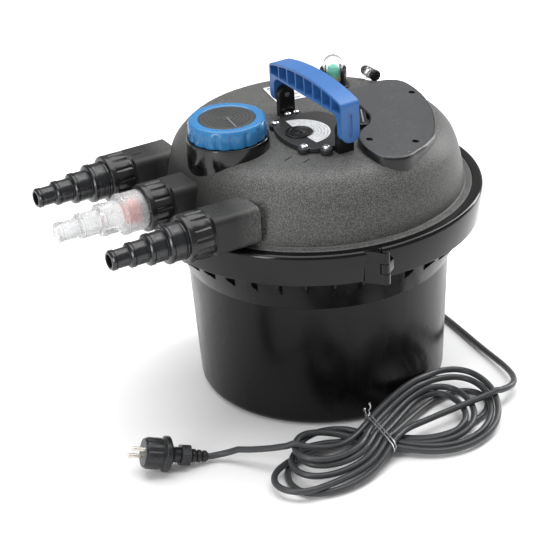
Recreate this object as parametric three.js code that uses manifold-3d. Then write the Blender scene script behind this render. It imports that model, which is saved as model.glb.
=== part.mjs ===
// Pressure filter for a garden pond, with an ultraviolet clarifier in its lid.
// Millimetres, +Z up. The origin is the centre of the drum's underside; the three hose ports point along -X.
import * as THREE from 'three';
import { mergeVertices } from 'three/addons/utils/BufferGeometryUtils.js';
import Module from 'manifold-3d';

const wasm = await Module();
wasm.setup();

// ---------------------------------------------------------------- driving dimensions
const GAP = 0.3; // clearance between neighbouring pieces
const DEG = Math.PI / 180;

const DRUM = {
  footR: 137.6, footRound: 10, seamR: 145, seamZ: 149.6, seamLedge: 2.5, coneR: 164, coneZ: 189,
  flangeR: 176.2, flangeZ: 198.7, topZ: 207, wall: 3.8, mouthR: 161.5,
  grooveR: 167.5, grooveHalf: 2.7, grooveZ: 203,
};
const GUSSET = { count: 36, thick: 2.6, lowZ: 160, kneeZ: 184, outerR: 172.6 };
const SEAL_R = 1.85;
const SEAL_SIDES = 6;
const RING = {
  lowZ: 195, topZ: 231.2, lowR: 179.6, topR: 184, crown: 1.8, lip: 3.3, lipLowR: 173.9, lipTopR: 172.1,
  innerLowR: 176.7, innerTopR: 180.7, split: 0.4,
};
const HINGE = { angle: -99.5 * DEG, radius: 190.5, barrelR: 5.2, pinR: 2, lugZ: [207.5, 218.7], holeR: 2.4 };
const CLOSURE = {
  angle: 78 * DEG, z: 213, lugR: [179.5, 203], lugThick: 6, lugHalfZ: 11, halfGap: 0.8,
  boltRadius: 194, boltR: 3, holeR: 4.6, boltTip: 5, knobR: 10.5, knobValleyR: 8.3, knobLength: 12, lobes: 5,
};
const LID = {
  flangeR: 177.2, flangeZ: 207.3, shoulderZ: 227.2, ledgeR: 171.8, ledgeZ: 231.4, domeR: 163.6, domeZ: 233,
  topZ: 303.5, wall: 4,
};
const DOME = [
  [163.6, 233], [160.8, 252], [155.7, 273.8], [148.6, 287.3], [134.4, 299], [110, 302.4], [60, 303.3],
];
const PORT = {
  z: 257.2, pitch: 88, armHalfY: 22, armHalfZ: 20.5, armRound: 5, armStart: 182, armRoot: 130,
  middleArmRoot: 145,
  spigotR: 22, spigotEnd: 199.5, boreR: 16.5, boreStart: 136,
};
const NUT = {
  start: 185, collar: 205, end: 211.3, ribR: 25.6, valleyR: 24.7, collarR: 25.6, chamfer: 1.5,
  bore: 22.4, lipBore: 20.6, ribs: 14,
};
const TAIL = {
  flangeR: 21.9, flangeStart: 201.7, flangeEnd: 204.7, neckR: 20.2, neckEnd: 212.3,
  wall: 3, barb: 0.8, barbLength: 4,
};
const BLACK_STEPS = [[232, 20.2], [252, 16], [272, 12.5], [292, 10]];
const CLEAR_STEPS = [[238, 21.6], [262, 17], [285.5, 13], [309, 10.3]];
const FLOAT = { r: 13.5, start: 214, end: 230, travel: 6 };
const SELECTOR = {
  x: -107, y: -6, low: 270, r: 44.5, bendZ: 296, topR: 43.4, topZ: 315.8, innerR: 40.6,
  capZ: 316.2, capTopZ: 336, capR: 41.8, capValleyR: 40.7, capFlutes: 16, capInnerR: 37, capInnerZ: 329,
  capShoulder: 4,
  discR: 30, discZ: 333.4, shaftR: 8, holeR: 8.6, rotorR: 26, rotorZ: [274, 281],
};
const HANDLE = {
  x: -15, half: 11, yMid: -30, length: 146, topZ: 371, archR: 300, barZ: 347.5, armThick: 9, innerRound: 9,
  pivotZ: 328, web: 2.2, flange: 2.8, ribs: 8, ribThick: 1.8, cornerR: 5, pinDepth: 2,
};
const BRACKET = {
  thick: 8, half: 9.5, gap: 0.5, low: 295, footLength: 12, footThick: 3.4, screwPitch: 10, screwIn: 6,
  pinR: 3, holeR: 3.3,
};
const PLATE = {
  low: 303.8, top: 309, lugR: 6.6, hub: [-36, -32.7], hubR: 15, labelIn: 15.6, labelOut: 33.4,
  labelThick: 0.5,
  screws: [[-45, 2], [-51.5, -68], [-34, -84.5]],
};
const PLATE_OUTLINE = [
  [-14, 11.5], [-36, 12], [-50, -3], [-57, -28], [-57, -49], [-53, -65], [-44, -77], [-30, -81.5],
  [-12, -82], [4, -66], [14, -42], [18, -15], [10, 6],
];
const SCREW = { r: 4.3, height: 3.6 };
const COVER = {
  wall: 3, x0: 0.7, y0: -88, z0: 312, slopeX: -0.1, slopeY: 0.067, inset: 0.955, mid: [72, -50],
  holeR: 3.8, holeDepth: 2.4, screwHeight: 1.1, screws: [[126, -5], [13, -94], [56, -116]],
};
const COVER_OUTLINE = [
  [59, 27], [82, 33], [109, 38.5], [127, 36], [137, 25], [138, 3], [132, -27], [118, -61], [90, -104],
  [66, -125], [44, -137], [30, -143.5], [18, -144], [6, -139], [-1, -130], [-2.5, -112], [0, -97], [6, -82],
  [20, -67], [36, -56], [47, -40], [50, -26],
];
const LAMP = {
  x: 69.5, y: 67.5, socketR: 15, socketTop: 325, boreR: 12.3, floorZ: 307, notchHalf: 8.5, notchZ: 312,
  notchTurn: 61 * DEG, lensR: 11.8, lensZ: 328.3, lensWall: 1.6, coreR: 8, coreShoulderZ: 322, coreTopZ: 329,
};
const BLEED = { x: 115, z: 309, y: [72, 56], r: 6, knobY: 50, knobR: 6.4 };
const LABEL = { x: 14, y: 81, width: 36, length: 46, turn: -10 * DEG, low: 303.8, thick: 0.5 };
const UVC = {
  x: 72, y: -50, holeR: 21, holderR: 20, holderZ: [287, 301.5], sleeveR: 17, sleeveWall: 1.8, sleeveLow: 188,
  lampR: 8, lampLow: 198,
};
const FOAM = {
  low: 30, height: 44, count: 3, innerR: 31, outerR: 129, tubeR: 30, tubeWall: 3, slotHalf: 4, slotHeight: 22,
  supportZ: 4.6, deckThick: 6, skirtR: [112, 116],
};
const GLAND = {
  turn: 45 * DEG, z: 248, base: 163.6, hexR: 9.5, hexEnd: 169, nutR: 8.4, nutEnd: 177, end: 198, tipR: 4.3,
  threadR: 4.6, threadStart: 153, holeR: 5,
};
const CORD_R = 3.5;
const HANK = {
  low: 0.4, high: 27, right: [48, -182, 78, 66, 12], left: [-114, -190, 57, 46, 0], waist: [-80, 0, -212,
  -166],
  clearR: 140.5,
};
const PLUG = {
  start: [-210.2, -109.2, 7.8], turn: 164 * DEG, tilt: 15.6 * DEG, reliefR: 7.3, relief: 20, nutR: 11.4,
  nut: 31,
  neckR: 8.3, neck: 37.6, flangeR: 19.3, flangeStart: 42, flange: 50, headR: 17.2, length: 70.8,
  pinR: 2.35, pinLength: 14, pinDepth: 6, pinPitch: 19, roll: -37 * DEG,
};

// The cord where it isn't coiled: from the gland down to the floor, and from the coil to the plug.
const LEAD_ROUTE = [[140.7, 140.7, 248], [145.1, 145.1, 247.1], [149.8, 149.8, 244.4], [153.8, 153.8, 240.1],
  [156.8, 156.8, 234.5], [158.7, 158.7, 228], [159.3, 159.3, 221], [159.5, 159, 200], [159.6, 158.2, 160],
  [160.4, 156.5, 110], [161.7, 152.3, 65], [163.5, 144, 34], [166, 131, 14], [168.5, 112, 5.2], [170.5,
  85, 3.9],
  [171.6, 45, 3.9], [171.2, 0, 3.9], [168, -40, 3.9], [164.6, -72, 3.9], [160.6, -115, 3.9], [157.2,
  -139, 3.9],
  [151.5, -160, 3.9], [143, -176, 3.9], [131, -187, 3.9], [114, -191, 3.9]];
const END_ROUTE = [[-150, -172, 3.9], [-162, -156, 3.9], [-176, -138, 3.9], [-187, -122, 3.9], [-199.1,
  -112.7, 4.6],
  [-205, -110.9, 6.2], [-209.7, -109.4, 7.6]];

// Sides of a round piece: the large rings, the middling ones and the small ones.
const BIG = 36;
const MEDIUM = 24;
const SMALL = 16;

// ---------------------------------------------------------------- materials
function paint(color, roughness, metalness = 0) {
  return new THREE.MeshStandardMaterial({ color, roughness, metalness });
}
const blackGloss = paint(0x17181a, 0.35);
const blackMatte = paint(0x242528, 0.6);
const lidGrey = paint(0x4a4b48, 0.7);
const coverGrey = paint(0x55565a, 0.55);
const blue = paint(0x4f8fd0, 0.45);
const chrome = paint(0xd8d8d8, 0.2, 1);
const rubberBlack = paint(0x2a2b2d, 0.8);
const clearPlastic = paint(0xeef2f2, 0.25);
clearPlastic.transparent = true;
clearPlastic.opacity = 0.4;
const silverFoil = paint(0xc9ccd4, 0.5);
const paper = paint(0xe6e6ea, 0.7);
const red = paint(0xc4402c, 0.5);
const green = paint(0x4cc9a4, 0.4);
const foamBlue = paint(0x3b4a66, 1);
const brass = paint(0xd9d2bf, 0.3, 1);

// ---------------------------------------------------------------- solids
const WELD = 1e-4;

/** A closed solid from a geometry: shared corners merged, slivers dropped, faces turned outward. */
function solid(geometry) {
  const bare = new THREE.BufferGeometry();
  bare.setAttribute('position', geometry.getAttribute('position'));
  bare.setIndex(geometry.getIndex());
  const merged = mergeVertices(bare, WELD);
  const position = merged.getAttribute('position');
  const index = merged.getIndex().array;
  const corner = (i) => new THREE.Vector3().fromBufferAttribute(position, i);
  const faces = [];
  let volume = 0;
  for (let i = 0; i < index.length; i += 3) {
    const [a, b, c] = [index[i], index[i + 1], index[i + 2]];
    if (a === b || b === c || c === a) continue;
    faces.push([a, b, c]);
    volume += corner(a).dot(corner(b).cross(corner(c)));
  }
  const triVerts = new Uint32Array(faces.flatMap(([a, b, c]) => (volume < 0 ? [a, c, b] : [a, b, c])));
  const vertProperties = new Float32Array(position.array);
  return new wasm.Manifold(new wasm.Mesh({ numProp: 3, vertProperties, triVerts }));
}

const join = (first, ...rest) => rest.reduce((sum, piece) => sum.add(piece), first);
const cut = (first, ...rest) => rest.reduce((left, piece) => left.subtract(piece), first);

function geometryOf(body) {
  const { vertProperties, triVerts } = body.getMesh();
  const geometry = new THREE.BufferGeometry();
  geometry.setAttribute('position', new THREE.BufferAttribute(vertProperties, 3));
  geometry.setIndex(new THREE.BufferAttribute(triVerts, 1));
  geometry.computeVertexNormals();
  return geometry;
}

/** Turns a profile of [radius, height] points about the Z axis. A profile off the axis closes on itself. */
function turned(profile, segments = MEDIUM) {
  const points = profile.map(([r, z]) => new THREE.Vector2(r, z));
  const onAxis = profile[0][0] === 0 && profile.at(-1)[0] === 0;
  if (!onAxis) points.push(points[0].clone());
  return new THREE.LatheGeometry(points, segments).rotateX(Math.PI / 2);
}

/** A tube or bar about Z between two heights; an inner radius of 0 gives a solid bar. */
function bar(outer, low, high, segments = SMALL) {
  return turned([[0, low], [outer, low], [outer, high], [0, high]], segments);
}
function tube(inner, outer, low, high, segments = MEDIUM) {
  return turned([[inner, low], [outer, low], [outer, high], [inner, high]], segments);
}

const outline = (points) => new THREE.Shape(points.map(([x, y]) => new THREE.Vector2(x, y)));

/** A flat outline raised from one height to another. */
function raised(shape, low, high, curveSegments = 6) {
  return new THREE.ExtrudeGeometry(shape, { depth: high - low, bevelEnabled: false,
    curveSegments }).translate(0, 0, low);
}

function block([x0, x1], [y0, y1], [z0, z1]) {
  const box = new THREE.BoxGeometry(x1 - x0, y1 - y0, z1 - z0);
  return box.translate((x0 + x1) / 2, (y0 + y1) / 2, (z0 + z1) / 2);
}

function roundedRectangle(halfX, halfY, round) {
  const shape = new THREE.Shape();
  const corners = [[1, -1, -90], [1, 1, 0], [-1, 1, 90], [-1, -1, 180]];
  for (const [sx, sy, start] of corners) {
    const [cx, cy] = [sx * (halfX - round), sy * (halfY - round)];
    shape.absarc(cx, cy, round, start * DEG, (start + 90) * DEG, false);
  }
  return shape;
}

/** A round outline with grip ribs: crests at one radius, valleys at another. */
function fluted(crest, valley, count) {
  const points = [];
  for (let i = 0; i < count; i += 1) {
    for (const [share, radius] of [[0, crest], [0.5, crest], [0.58, valley], [0.92, valley]]) {
      const angle = ((i + share) / count) * 2 * Math.PI;
      points.push([radius * Math.cos(angle), radius * Math.sin(angle)]);
    }
  }
  return outline(points);
}

/** Lays a piece built along +Z so that it runs along -X. */
const alongPort = (geometry) => geometry.rotateY(-Math.PI / 2);

// ---------------------------------------------------------------- scene graph
const filter = new THREE.Group();
filter.name = 'pond_pressure_filter';

function add(name, shape, material, parent = filter) {
  const geometry = shape instanceof wasm.Manifold ? geometryOf(shape) : geometryOf(solid(shape));
  const mesh = new THREE.Mesh(geometry, material);
  mesh.name = name;
  parent.add(mesh);
}

function groupAt(x, y, z) {
  const group = new THREE.Group();
  group.position.set(x, y, z);
  filter.add(group);
  return group;
}

// ---------------------------------------------------------------- drum and what it holds
function drumProfile() {
  const { footR, footRound, seamR, seamZ, seamLedge, coneR, coneZ, flangeR, flangeZ, topZ, wall,
    mouthR } = DRUM;
  const foot = [0, 45, 90].map((turn) => [
    footR - footRound * (1 - Math.sin(turn * DEG)),
    footRound * (1 - Math.cos(turn * DEG)),
  ]);
  return [
    [0, 0], ...foot, [seamR, seamZ], [seamR + seamLedge, seamZ + 1.5], [coneR, coneZ], [coneR + 2, flangeZ],
    [flangeR, flangeZ], [flangeR, topZ], [mouthR, topZ], [mouthR - 1.5, coneZ + 1], [seamR - wall + 1,
    seamZ + 2],
    [seamR - wall, seamZ], [footR - wall, footRound + 2], [footR - footRound, wall], [0, wall],
  ];
}

function gusset(angle) {
  const { thick, lowZ, kneeZ, outerR } = GUSSET;
  const top = DRUM.flangeZ + 1;
  const web = outline([[DRUM.seamR + 5, lowZ], [outerR, kneeZ], [outerR, top], [DRUM.coneR - 0.5, top]]);
  return solid(raised(web, -thick / 2, thick / 2).rotateX(Math.PI / 2).rotateZ(angle));
}

function drum() {
  const { grooveR, grooveHalf, grooveZ, topZ } = DRUM;
  const groove = solid(tube(grooveR - grooveHalf, grooveR + grooveHalf, grooveZ, topZ + 1, BIG));
  let body = cut(solid(turned(drumProfile(), BIG)), groove);
  for (let i = 0; i < GUSSET.count; i += 1) body = body.add(gusset(((i + 0.5) / GUSSET.count) * 2 * Math.PI));
  add('drum', body, blackGloss);
}

function lidSeal() {
  const section = [];
  for (let i = 0; i < SEAL_SIDES; i += 1) {
    const angle = (i / SEAL_SIDES) * 2 * Math.PI;
    section.push([DRUM.grooveR + SEAL_R * Math.cos(angle), DRUM.grooveZ + GAP + SEAL_R * (1 + Math.sin(angle))]);
  }
  add('lid_seal', turned(section, BIG), rubberBlack);
}

function foamCartridge() {
  const { low, height, count, innerR, outerR, tubeR, tubeWall, slotHalf, slotHeight, supportZ, deckThick,
    skirtR } = FOAM;
  const top = low + count * height;
  let pipe = solid(tube(tubeR - tubeWall, tubeR, supportZ, top + 4));
  for (let row = 0; row < count; row += 1) {
    const z = low + row * height + (height - slotHeight) / 2;
    for (const turn of [0, 90]) {
      const slot = block([-tubeR - 2, tubeR + 2], [-slotHalf, slotHalf], [z,
        z + slotHeight]).rotateZ(turn * DEG);
      pipe = pipe.subtract(solid(slot));
    }
  }
  add('centre_tube', pipe, blackMatte);
  const deck = low - 1;
  const under = deck - deckThick;
  add('foam_support', turned([[innerR, deck], [innerR, under], [skirtR[0], under], [skirtR[0], supportZ],
    [skirtR[1], supportZ], [skirtR[1], under], [outerR, under], [outerR, deck]]), blackMatte);
  const names = ['foam_ring_lower', 'foam_ring_middle', 'foam_ring_upper'];
  names.forEach((name, i) => {
    const start = low + i * height;
    add(name, tube(innerR, outerR, start, start + height - GAP), foamBlue);
  });
}

// ---------------------------------------------------------------- clamp ring
function ringBand() {
  const { lowZ, topZ, lowR, topR, crown, lip, lipLowR, lipTopR, innerLowR, innerTopR } = RING;
  return solid(turned([
    [lipLowR, lowZ], [lowR - 1, lowZ], [lowR, lowZ + 1], [topR, topZ - crown], [topR - crown * 0.4,
    topZ - crown * 0.3],
    [topR - crown * 1.2, topZ], [lipTopR, topZ], [lipTopR, topZ - lip], [innerTopR, topZ - lip],
    [innerLowR, lowZ + lip],
    [lipLowR, lowZ + lip],
  ], BIG));
}

/** The wedge of space on one side of the two split lines. */
function ringSide(left) {
  const { split } = RING;
  const reach = 260;
  const sweep = [];
  const from = left ? CLOSURE.angle : HINGE.angle;
  const to = left ? HINGE.angle + 2 * Math.PI : CLOSURE.angle;
  const steps = 12;
  for (let i = 0; i <= steps; i += 1) {
    const angle = from + ((to - from) * i) / steps;
    sweep.push([reach * Math.cos(angle), reach * Math.sin(angle)]);
  }
  const middle = (from + to) / 2;
  const shift = [split * Math.cos(middle), split * Math.sin(middle)];
  return solid(raised(outline([[0, 0], ...sweep]), 150, 260).translate(shift[0], shift[1], 0));
}

/** A bar of the given radius on the hinge's axis. */
function hingeBar(radius, low, high) {
  const spot = [HINGE.radius * Math.cos(HINGE.angle), HINGE.radius * Math.sin(HINGE.angle), 0];
  return bar(radius, low, high).translate(...spot);
}

/** A lug that leaves the band and carries the barrel: `side` is -1 for the left half, +1 for the right. */
function hingeLug(side, low, high) {
  const root = HINGE.radius - 9;
  const reach = HINGE.radius;
  const tip = HINGE.barrelR;
  const web = outline([[root, side * 24], [root + 1, side * 16], [reach + tip - 0.3, side * 2],
    [reach + tip - 0.3, 0],
    [reach - tip + 1, 0], [root - 1.2, side * 3], [root - 1.2, side * 24]]);
  return solid(raised(web, low, high).rotateZ(HINGE.angle));
}

function closureLug(side) {
  const { lugR, lugThick, lugHalfZ, halfGap, z, angle, holeR, boltRadius } = CLOSURE;
  const span = side > 0 ? [halfGap, halfGap + lugThick] : [-halfGap - lugThick, -halfGap];
  const lug = solid(block(lugR, span, [z - lugHalfZ, z + lugHalfZ]).rotateZ(angle));
  const hole = bar(holeR, -40, 40, 16).rotateX(Math.PI / 2).translate(boltRadius, 0, z).rotateZ(angle);
  return cut(lug, solid(hole));
}

function clampRing() {
  const { lowZ, topZ, innerLowR } = RING;
  const { lugZ: [lugLow, lugHigh], barrelR, holeR, pinR } = HINGE;
  const bore = solid(hingeBar(holeR, lowZ - 1, topZ + 1));
  const band = ringBand();
  const room = solid(hingeBar(barrelR + 2 * GAP, lugLow - GAP, lugHigh + GAP));
  const insideBand = solid(bar(innerLowR + 2 * GAP, DRUM.seamZ, topZ + 20, BIG));
  const leftLug = join(hingeLug(-1, lowZ, topZ), solid(hingeBar(barrelR, lowZ, topZ)));
  const left = join(band.intersect(ringSide(true)), cut(leftLug, insideBand), closureLug(1));
  add('clamp_half_left', cut(left, room, bore), blackGloss);
  const rightLug = join(hingeLug(1, lugLow, lugHigh), solid(hingeBar(barrelR, lugLow, lugHigh)));
  const keepOut = [[lowZ - 1, lugLow - GAP], [lugHigh + GAP, topZ + 1]];
  const right = join(band.intersect(ringSide(false)), cut(rightLug, insideBand), closureLug(-1));
  const clear = keepOut.map(([low, high]) => solid(hingeBar(barrelR + 2 * GAP, low, high)));
  add('clamp_half_right', cut(right, ...clear, bore), blackGloss);
  add('clamp_hinge_pin', hingeBar(pinR, lowZ + 0.5, topZ - 0.5), chrome);
}

function clampKnob() {
  const c = CLOSURE;
  const seat = c.halfGap + c.lugThick + GAP;
  const shank = bar(c.boltR, -c.halfGap - c.lugThick - c.boltTip, seat + 1);
  const grip = raised(fluted(c.knobR, c.knobValleyR, c.lobes), seat, seat + c.knobLength);
  const knob = geometryOf(join(solid(shank), solid(grip))).rotateX(-Math.PI / 2);
  add('clamp_knob', knob.translate(c.boltRadius, 0, c.z).rotateZ(c.angle), blackMatte);
}

// ---------------------------------------------------------------- lid
/** The dome's outer line, from its foot to the axis, moved out by `out`. */
function domeLine(out) {
  const curve = new THREE.SplineCurve(DOME.map(([r, z]) => new THREE.Vector2(r, z)));
  const line = curve.getPoints(6).map((p) => [p.x + out, p.y + out]);
  return [...line, [0, LID.topZ + out]];
}

/** Everything that the dome fills, with a skin of clearance over it. */
function domeEnvelope(out) {
  return solid(turned([[0, 200], [DOME[0][0] + out, 200], ...domeLine(out)], BIG));
}

function portArm(y) {
  const { z, pitch, armHalfY, armHalfZ, armRound, armStart, armRoot, middleArmRoot, spigotR,
    spigotEnd } = PORT;
  const inner = y === 0 ? middleArmRoot : armRoot;
  const box = raised(roundedRectangle(armHalfZ, armHalfY, armRound), inner, armStart, 2);
  const spigot = bar(spigotR, armStart - 1, spigotEnd, MEDIUM);
  return join(solid(alongPort(box).translate(0, y * pitch, z)), solid(alongPort(spigot).translate(0,
    y * pitch, z)));
}

function portBore(y) {
  const { z, pitch, boreR, boreStart, spigotEnd } = PORT;
  return solid(alongPort(bar(boreR, boreStart, spigotEnd + 1)).translate(0, y * pitch, z));
}

function lid() {
  const { flangeR, flangeZ, shoulderZ, ledgeR, ledgeZ, domeR, domeZ, wall } = LID;
  const inner = domeLine(-wall);
  const shell = solid(turned([
    ...inner.toReversed(), [domeR - wall, shoulderZ - 1.7], [flangeR - 4.4, shoulderZ - 1.7],
    [flangeR - 4.4, flangeZ + 5.7], [DRUM.mouthR, flangeZ + 5.7], [DRUM.mouthR, flangeZ], [flangeR, flangeZ],
    [flangeR, shoulderZ], [ledgeR, shoulderZ], [ledgeR, ledgeZ], [domeR + 0.8, ledgeZ + 0.3], [domeR, domeZ],
    ...domeLine(0).slice(1),
  ], BIG));
  const room = solid(turned([[0, 200], [domeR - wall, 200], ...inner], BIG));
  const arms = [-1, 0, 1].map((y) => cut(portArm(y), room));
  const above = LID.topZ + 20;
  const spindleHole = bar(SELECTOR.holeR, PORT.z, above).translate(SELECTOR.x, SELECTOR.y, 0);
  const lampHole = bar(UVC.holeR, PORT.z, above).translate(UVC.x, UVC.y, 0);
  const through = [GLAND.base - 20, GLAND.base + 20];
  const glandHole = bar(GLAND.holeR, ...through).rotateY(Math.PI / 2).translate(0, 0,
    GLAND.z).rotateZ(GLAND.turn);
  const holes = [-1, 0, 1].map(portBore).concat([spindleHole, lampHole, glandHole].map(solid));
  add('lid', cut(join(shell, ...arms), ...holes), lidGrey);
}

// ---------------------------------------------------------------- hose ports
function unionNut(name, port) {
  const { start, collar, end, ribR, valleyR, collarR, chamfer, bore, lipBore, ribs } = NUT;
  const grip = raised(fluted(ribR, valleyR, ribs), start, collar + 0.5);
  const rim = turned([[0, collar], [collarR, collar], [collarR, end - chamfer], [collarR - chamfer, end],
    [0, end]]);
  const thread = bar(bore, start - 1, collar, MEDIUM);
  const mouth = bar(lipBore, collar - 1, end + 1, MEDIUM);
  const nut = cut(join(solid(grip), solid(rim)), solid(thread), solid(mouth));
  add(name, alongPort(geometryOf(nut)), blackMatte, port);
}

/** A stepped hose tail: each step is [end, radius] and swells into a low barb before its outer end. */
function hoseTail(name, port, steps, material) {
  const { flangeR, flangeStart, flangeEnd, neckR, neckEnd, wall, barb, barbLength } = TAIL;
  const outer = [[flangeR, flangeStart], [flangeR, flangeEnd], [neckR, flangeEnd], [neckR, neckEnd]];
  let begin = neckEnd;
  for (const [end, r] of steps) {
    outer.push([r, begin], [r + barb, end - barbLength], [r, end]);
    begin = end;
  }
  const [[wideEnd], , , [tipEnd, tipR]] = steps;
  const wideR = neckR - wall;
  const inner = [[tipR - wall, tipEnd], [tipR - wall, wideEnd + 8], [wideR, wideEnd - 4], [wideR,
    flangeStart]];
  add(name, alongPort(turned([...outer, ...inner], SMALL)), material, port);
}

function hosePort(side, steps, material) {
  const row = { rear: 1, middle: 0, front: -1 }[side];
  const port = groupAt(0, row * PORT.pitch, PORT.z);
  unionNut(`union_nut_${side}`, port);
  hoseTail(`hose_tail_${side}`, port, steps, material);
  const seat = [PORT.spigotEnd + GAP, TAIL.flangeStart - GAP];
  const gasket = tube(PORT.boreR + 0.5, PORT.spigotR - 0.2, ...seat, SMALL);
  add(`tail_gasket_${side}`, alongPort(gasket), rubberBlack, port);
  return port;
}

function flowFloat(port) {
  const { r, start, end } = FLOAT;
  const nose = 4;
  add('flow_float', alongPort(turned([[0, start], [r - nose, start], [r, start + nose], [r, end - nose],
    [r - nose, end], [0, end]], SMALL)), red, port);
}

// ---------------------------------------------------------------- cleaning selector
function selector(over) {
  const s = SELECTOR;
  const wall = turned([[s.innerR, s.low], [s.r, s.low], [s.r, s.bendZ], [s.topR, s.topZ], [s.innerR,
    s.topZ]]);
  add('selector_housing', cut(solid(wall.translate(s.x, s.y, 0)), over), blackGloss);
  const spot = groupAt(s.x, s.y, 0);
  const shoulder = s.capTopZ - s.capShoulder;
  const grip = solid(raised(fluted(s.capR, s.capValleyR, s.capFlutes), s.capZ, shoulder));
  const crown = solid(turned([[0, shoulder - 1], [s.capValleyR, shoulder - 1], [s.capValleyR, shoulder + 1],
    [s.capValleyR - 3, s.capTopZ], [0, s.capTopZ]]));
  const hollow = solid(bar(s.capInnerR, s.capZ - 1, s.capInnerZ));
  const recess = solid(bar(s.discR + 0.4, s.discZ, s.capTopZ + 1));
  add('selector_cap', cut(join(grip, crown), hollow, recess), blue, spot);
  add('selector_disc', bar(s.discR, s.discZ + GAP, s.capTopZ - 0.4), coverGrey, spot);
  const [low, high] = s.rotorZ;
  const shaftTop = s.capInnerZ - GAP;
  add('selector_rotor', turned([[0, low], [s.rotorR, low], [s.rotorR, high], [s.shaftR, high], [s.shaftR,
    shaftTop],
    [0, shaftTop]], SMALL), blackMatte, spot);
}

// ---------------------------------------------------------------- carrying handle
const armY = [HANDLE.yMid - HANDLE.length / 2, HANDLE.yMid + HANDLE.length / 2];

/** Height of the handle's arched top at a place along it, `below` under the surface. */
function archZ(y, below = 0) {
  const radius = HANDLE.archR - below;
  return HANDLE.topZ - HANDLE.archR + Math.sqrt(radius ** 2 - (y - HANDLE.yMid) ** 2);
}

/** A side outline in Y and Z, raised along X between two distances from the handle's middle plane. */
function sidePlate(points, from, to) {
  return solid(raised(outline(points), from, to).rotateX(Math.PI / 2).rotateZ(Math.PI / 2).translate(HANDLE.x, 0, 0));
}

function handleSide() {
  const { armThick, barZ, innerRound, pivotZ, half, cornerR } = HANDLE;
  const [y0, y1] = armY;
  const low = pivotZ - half;
  const top = [];
  const steps = 12;
  for (let i = 0; i <= steps; i += 1) {
    const y = y1 - cornerR + ((y0 - y1 + 2 * cornerR) * i) / steps;
    top.push([y, archZ(y)]);
  }
  const fillet = (cy, start) => [0, 30, 60, 90].map((turn) => {
    const angle = (start - turn) * DEG;
    return [cy + innerRound * Math.cos(angle), barZ - innerRound + innerRound * Math.sin(angle)];
  });
  const edge = archZ(y1) - cornerR;
  return [[y1, low], [y1, edge], ...top, [y0, edge], [y0, low], [y0 + armThick, low],
    ...fillet(y0 + armThick + innerRound, 180), ...fillet(y1 - armThick - innerRound, 90),
      [y1 - armThick, low]];
}

function handlePockets() {
  const { half, web, flange, ribs, ribThick, barZ } = HANDLE;
  const [y0, y1] = armY;
  const pitch = (y1 - y0 - 2 * flange) / ribs;
  const pockets = [];
  for (let i = 0; i < ribs; i += 1) {
    const a = y0 + flange + i * pitch + (i === 0 ? 0 : ribThick / 2);
    const b = y0 + flange + (i + 1) * pitch - (i === ribs - 1 ? 0 : ribThick / 2);
    const low = barZ + flange;
    const cell = [[a, low], [b, low], [b, archZ(b, flange)], [a, archZ(a, flange)]];
    pockets.push(sidePlate(cell, web, half + 1), sidePlate(cell, -half - 1, -web));
  }
  return pockets;
}

function handle() {
  const { x, half, pivotZ, armThick, topZ, pinDepth, length } = HANDLE;
  const end = new THREE.Shape();
  end.moveTo(x + half, topZ + 1);
  end.lineTo(x - half, topZ + 1);
  end.lineTo(x - half, pivotZ);
  end.absarc(x, pivotZ, half, Math.PI, 2 * Math.PI, false);
  const front = solid(raised(end, -length, length, 8).rotateX(Math.PI / 2));
  const body = sidePlate(handleSide(), -half, half).intersect(front);
  const holes = armY.map((y, i) => {
    const inner = i === 0 ? y + armThick + 1 : y - armThick - 1;
    const depth = i === 0 ? y + pinDepth : y - pinDepth;
    const [low, high] = [Math.min(inner, depth), Math.max(inner, depth)];
    return solid(pivotBar(BRACKET.holeR, low, high));
  });
  add('handle', cut(body, ...handlePockets(), ...holes), blue);
}

/** A bar along Y between two places, at the handle's pivot. */
function pivotBar(radius, from, to) {
  const [low, high] = [Math.min(from, to), Math.max(from, to)];
  return bar(radius, -high, -low).rotateX(Math.PI / 2).translate(HANDLE.x, 0, HANDLE.pivotZ);
}

/** The foot of a bracket on the centre plate, with its two screws. */
function bracketFoot(far, inward) {
  const { half, low, footLength, footThick, screwPitch, screwIn } = BRACKET;
  const { x } = HANDLE;
  const top = PLATE.low + footThick;
  const spanY = [far - inward, far + inward * footLength].sort((a, b) => a - b);
  [-0.5, 0.5].forEach((side, i) => {
    const screw = screwHead(SCREW.r - 0.6, SCREW.height - 0.8);
    screw.translate(x + 1 + side * screwPitch, far + inward * screwIn, top + GAP);
    add(`bracket_screw_${i + 1}`, screw, chrome);
  });
  return solid(block([x - half - 1, x + half + 2], spanY, [low, top]));
}

/** An upright with a round top; `inward` is the direction along Y from the arm to the handle's middle. */
function handleBracket(side, arm, inward, hasFoot, over) {
  const { thick, half, gap, low, holeR, pinR } = BRACKET;
  const { x, pivotZ, armThick, pinDepth } = HANDLE;
  const near = arm + inward * (armThick + gap);
  const far = near + inward * thick;
  const face = new THREE.Shape();
  face.moveTo(half, pivotZ);
  face.absarc(0, pivotZ, half, 0, Math.PI, false);
  face.lineTo(-half, low);
  face.lineTo(half, low);
  const upright = raised(face, -Math.max(near, far), -Math.min(near, far), 8);
  let body = solid(upright.rotateX(Math.PI / 2).translate(x, 0, 0));
  if (hasFoot) body = body.add(bracketFoot(far, inward));
  const hole = solid(pivotBar(holeR, near - inward, far + inward));
  add(`handle_bracket_${side}`, cut(body, over, hole), blackMatte);
  add(`handle_pin_${side}`, pivotBar(pinR, arm + inward * (pinDepth + 2 * GAP), far), chrome);
}

function screwHead(r, height) {
  return turned([[0, 0], [r, 0], [r, height * 0.45], [r * 0.75, height * 0.85], [0, height]], SMALL);
}

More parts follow.
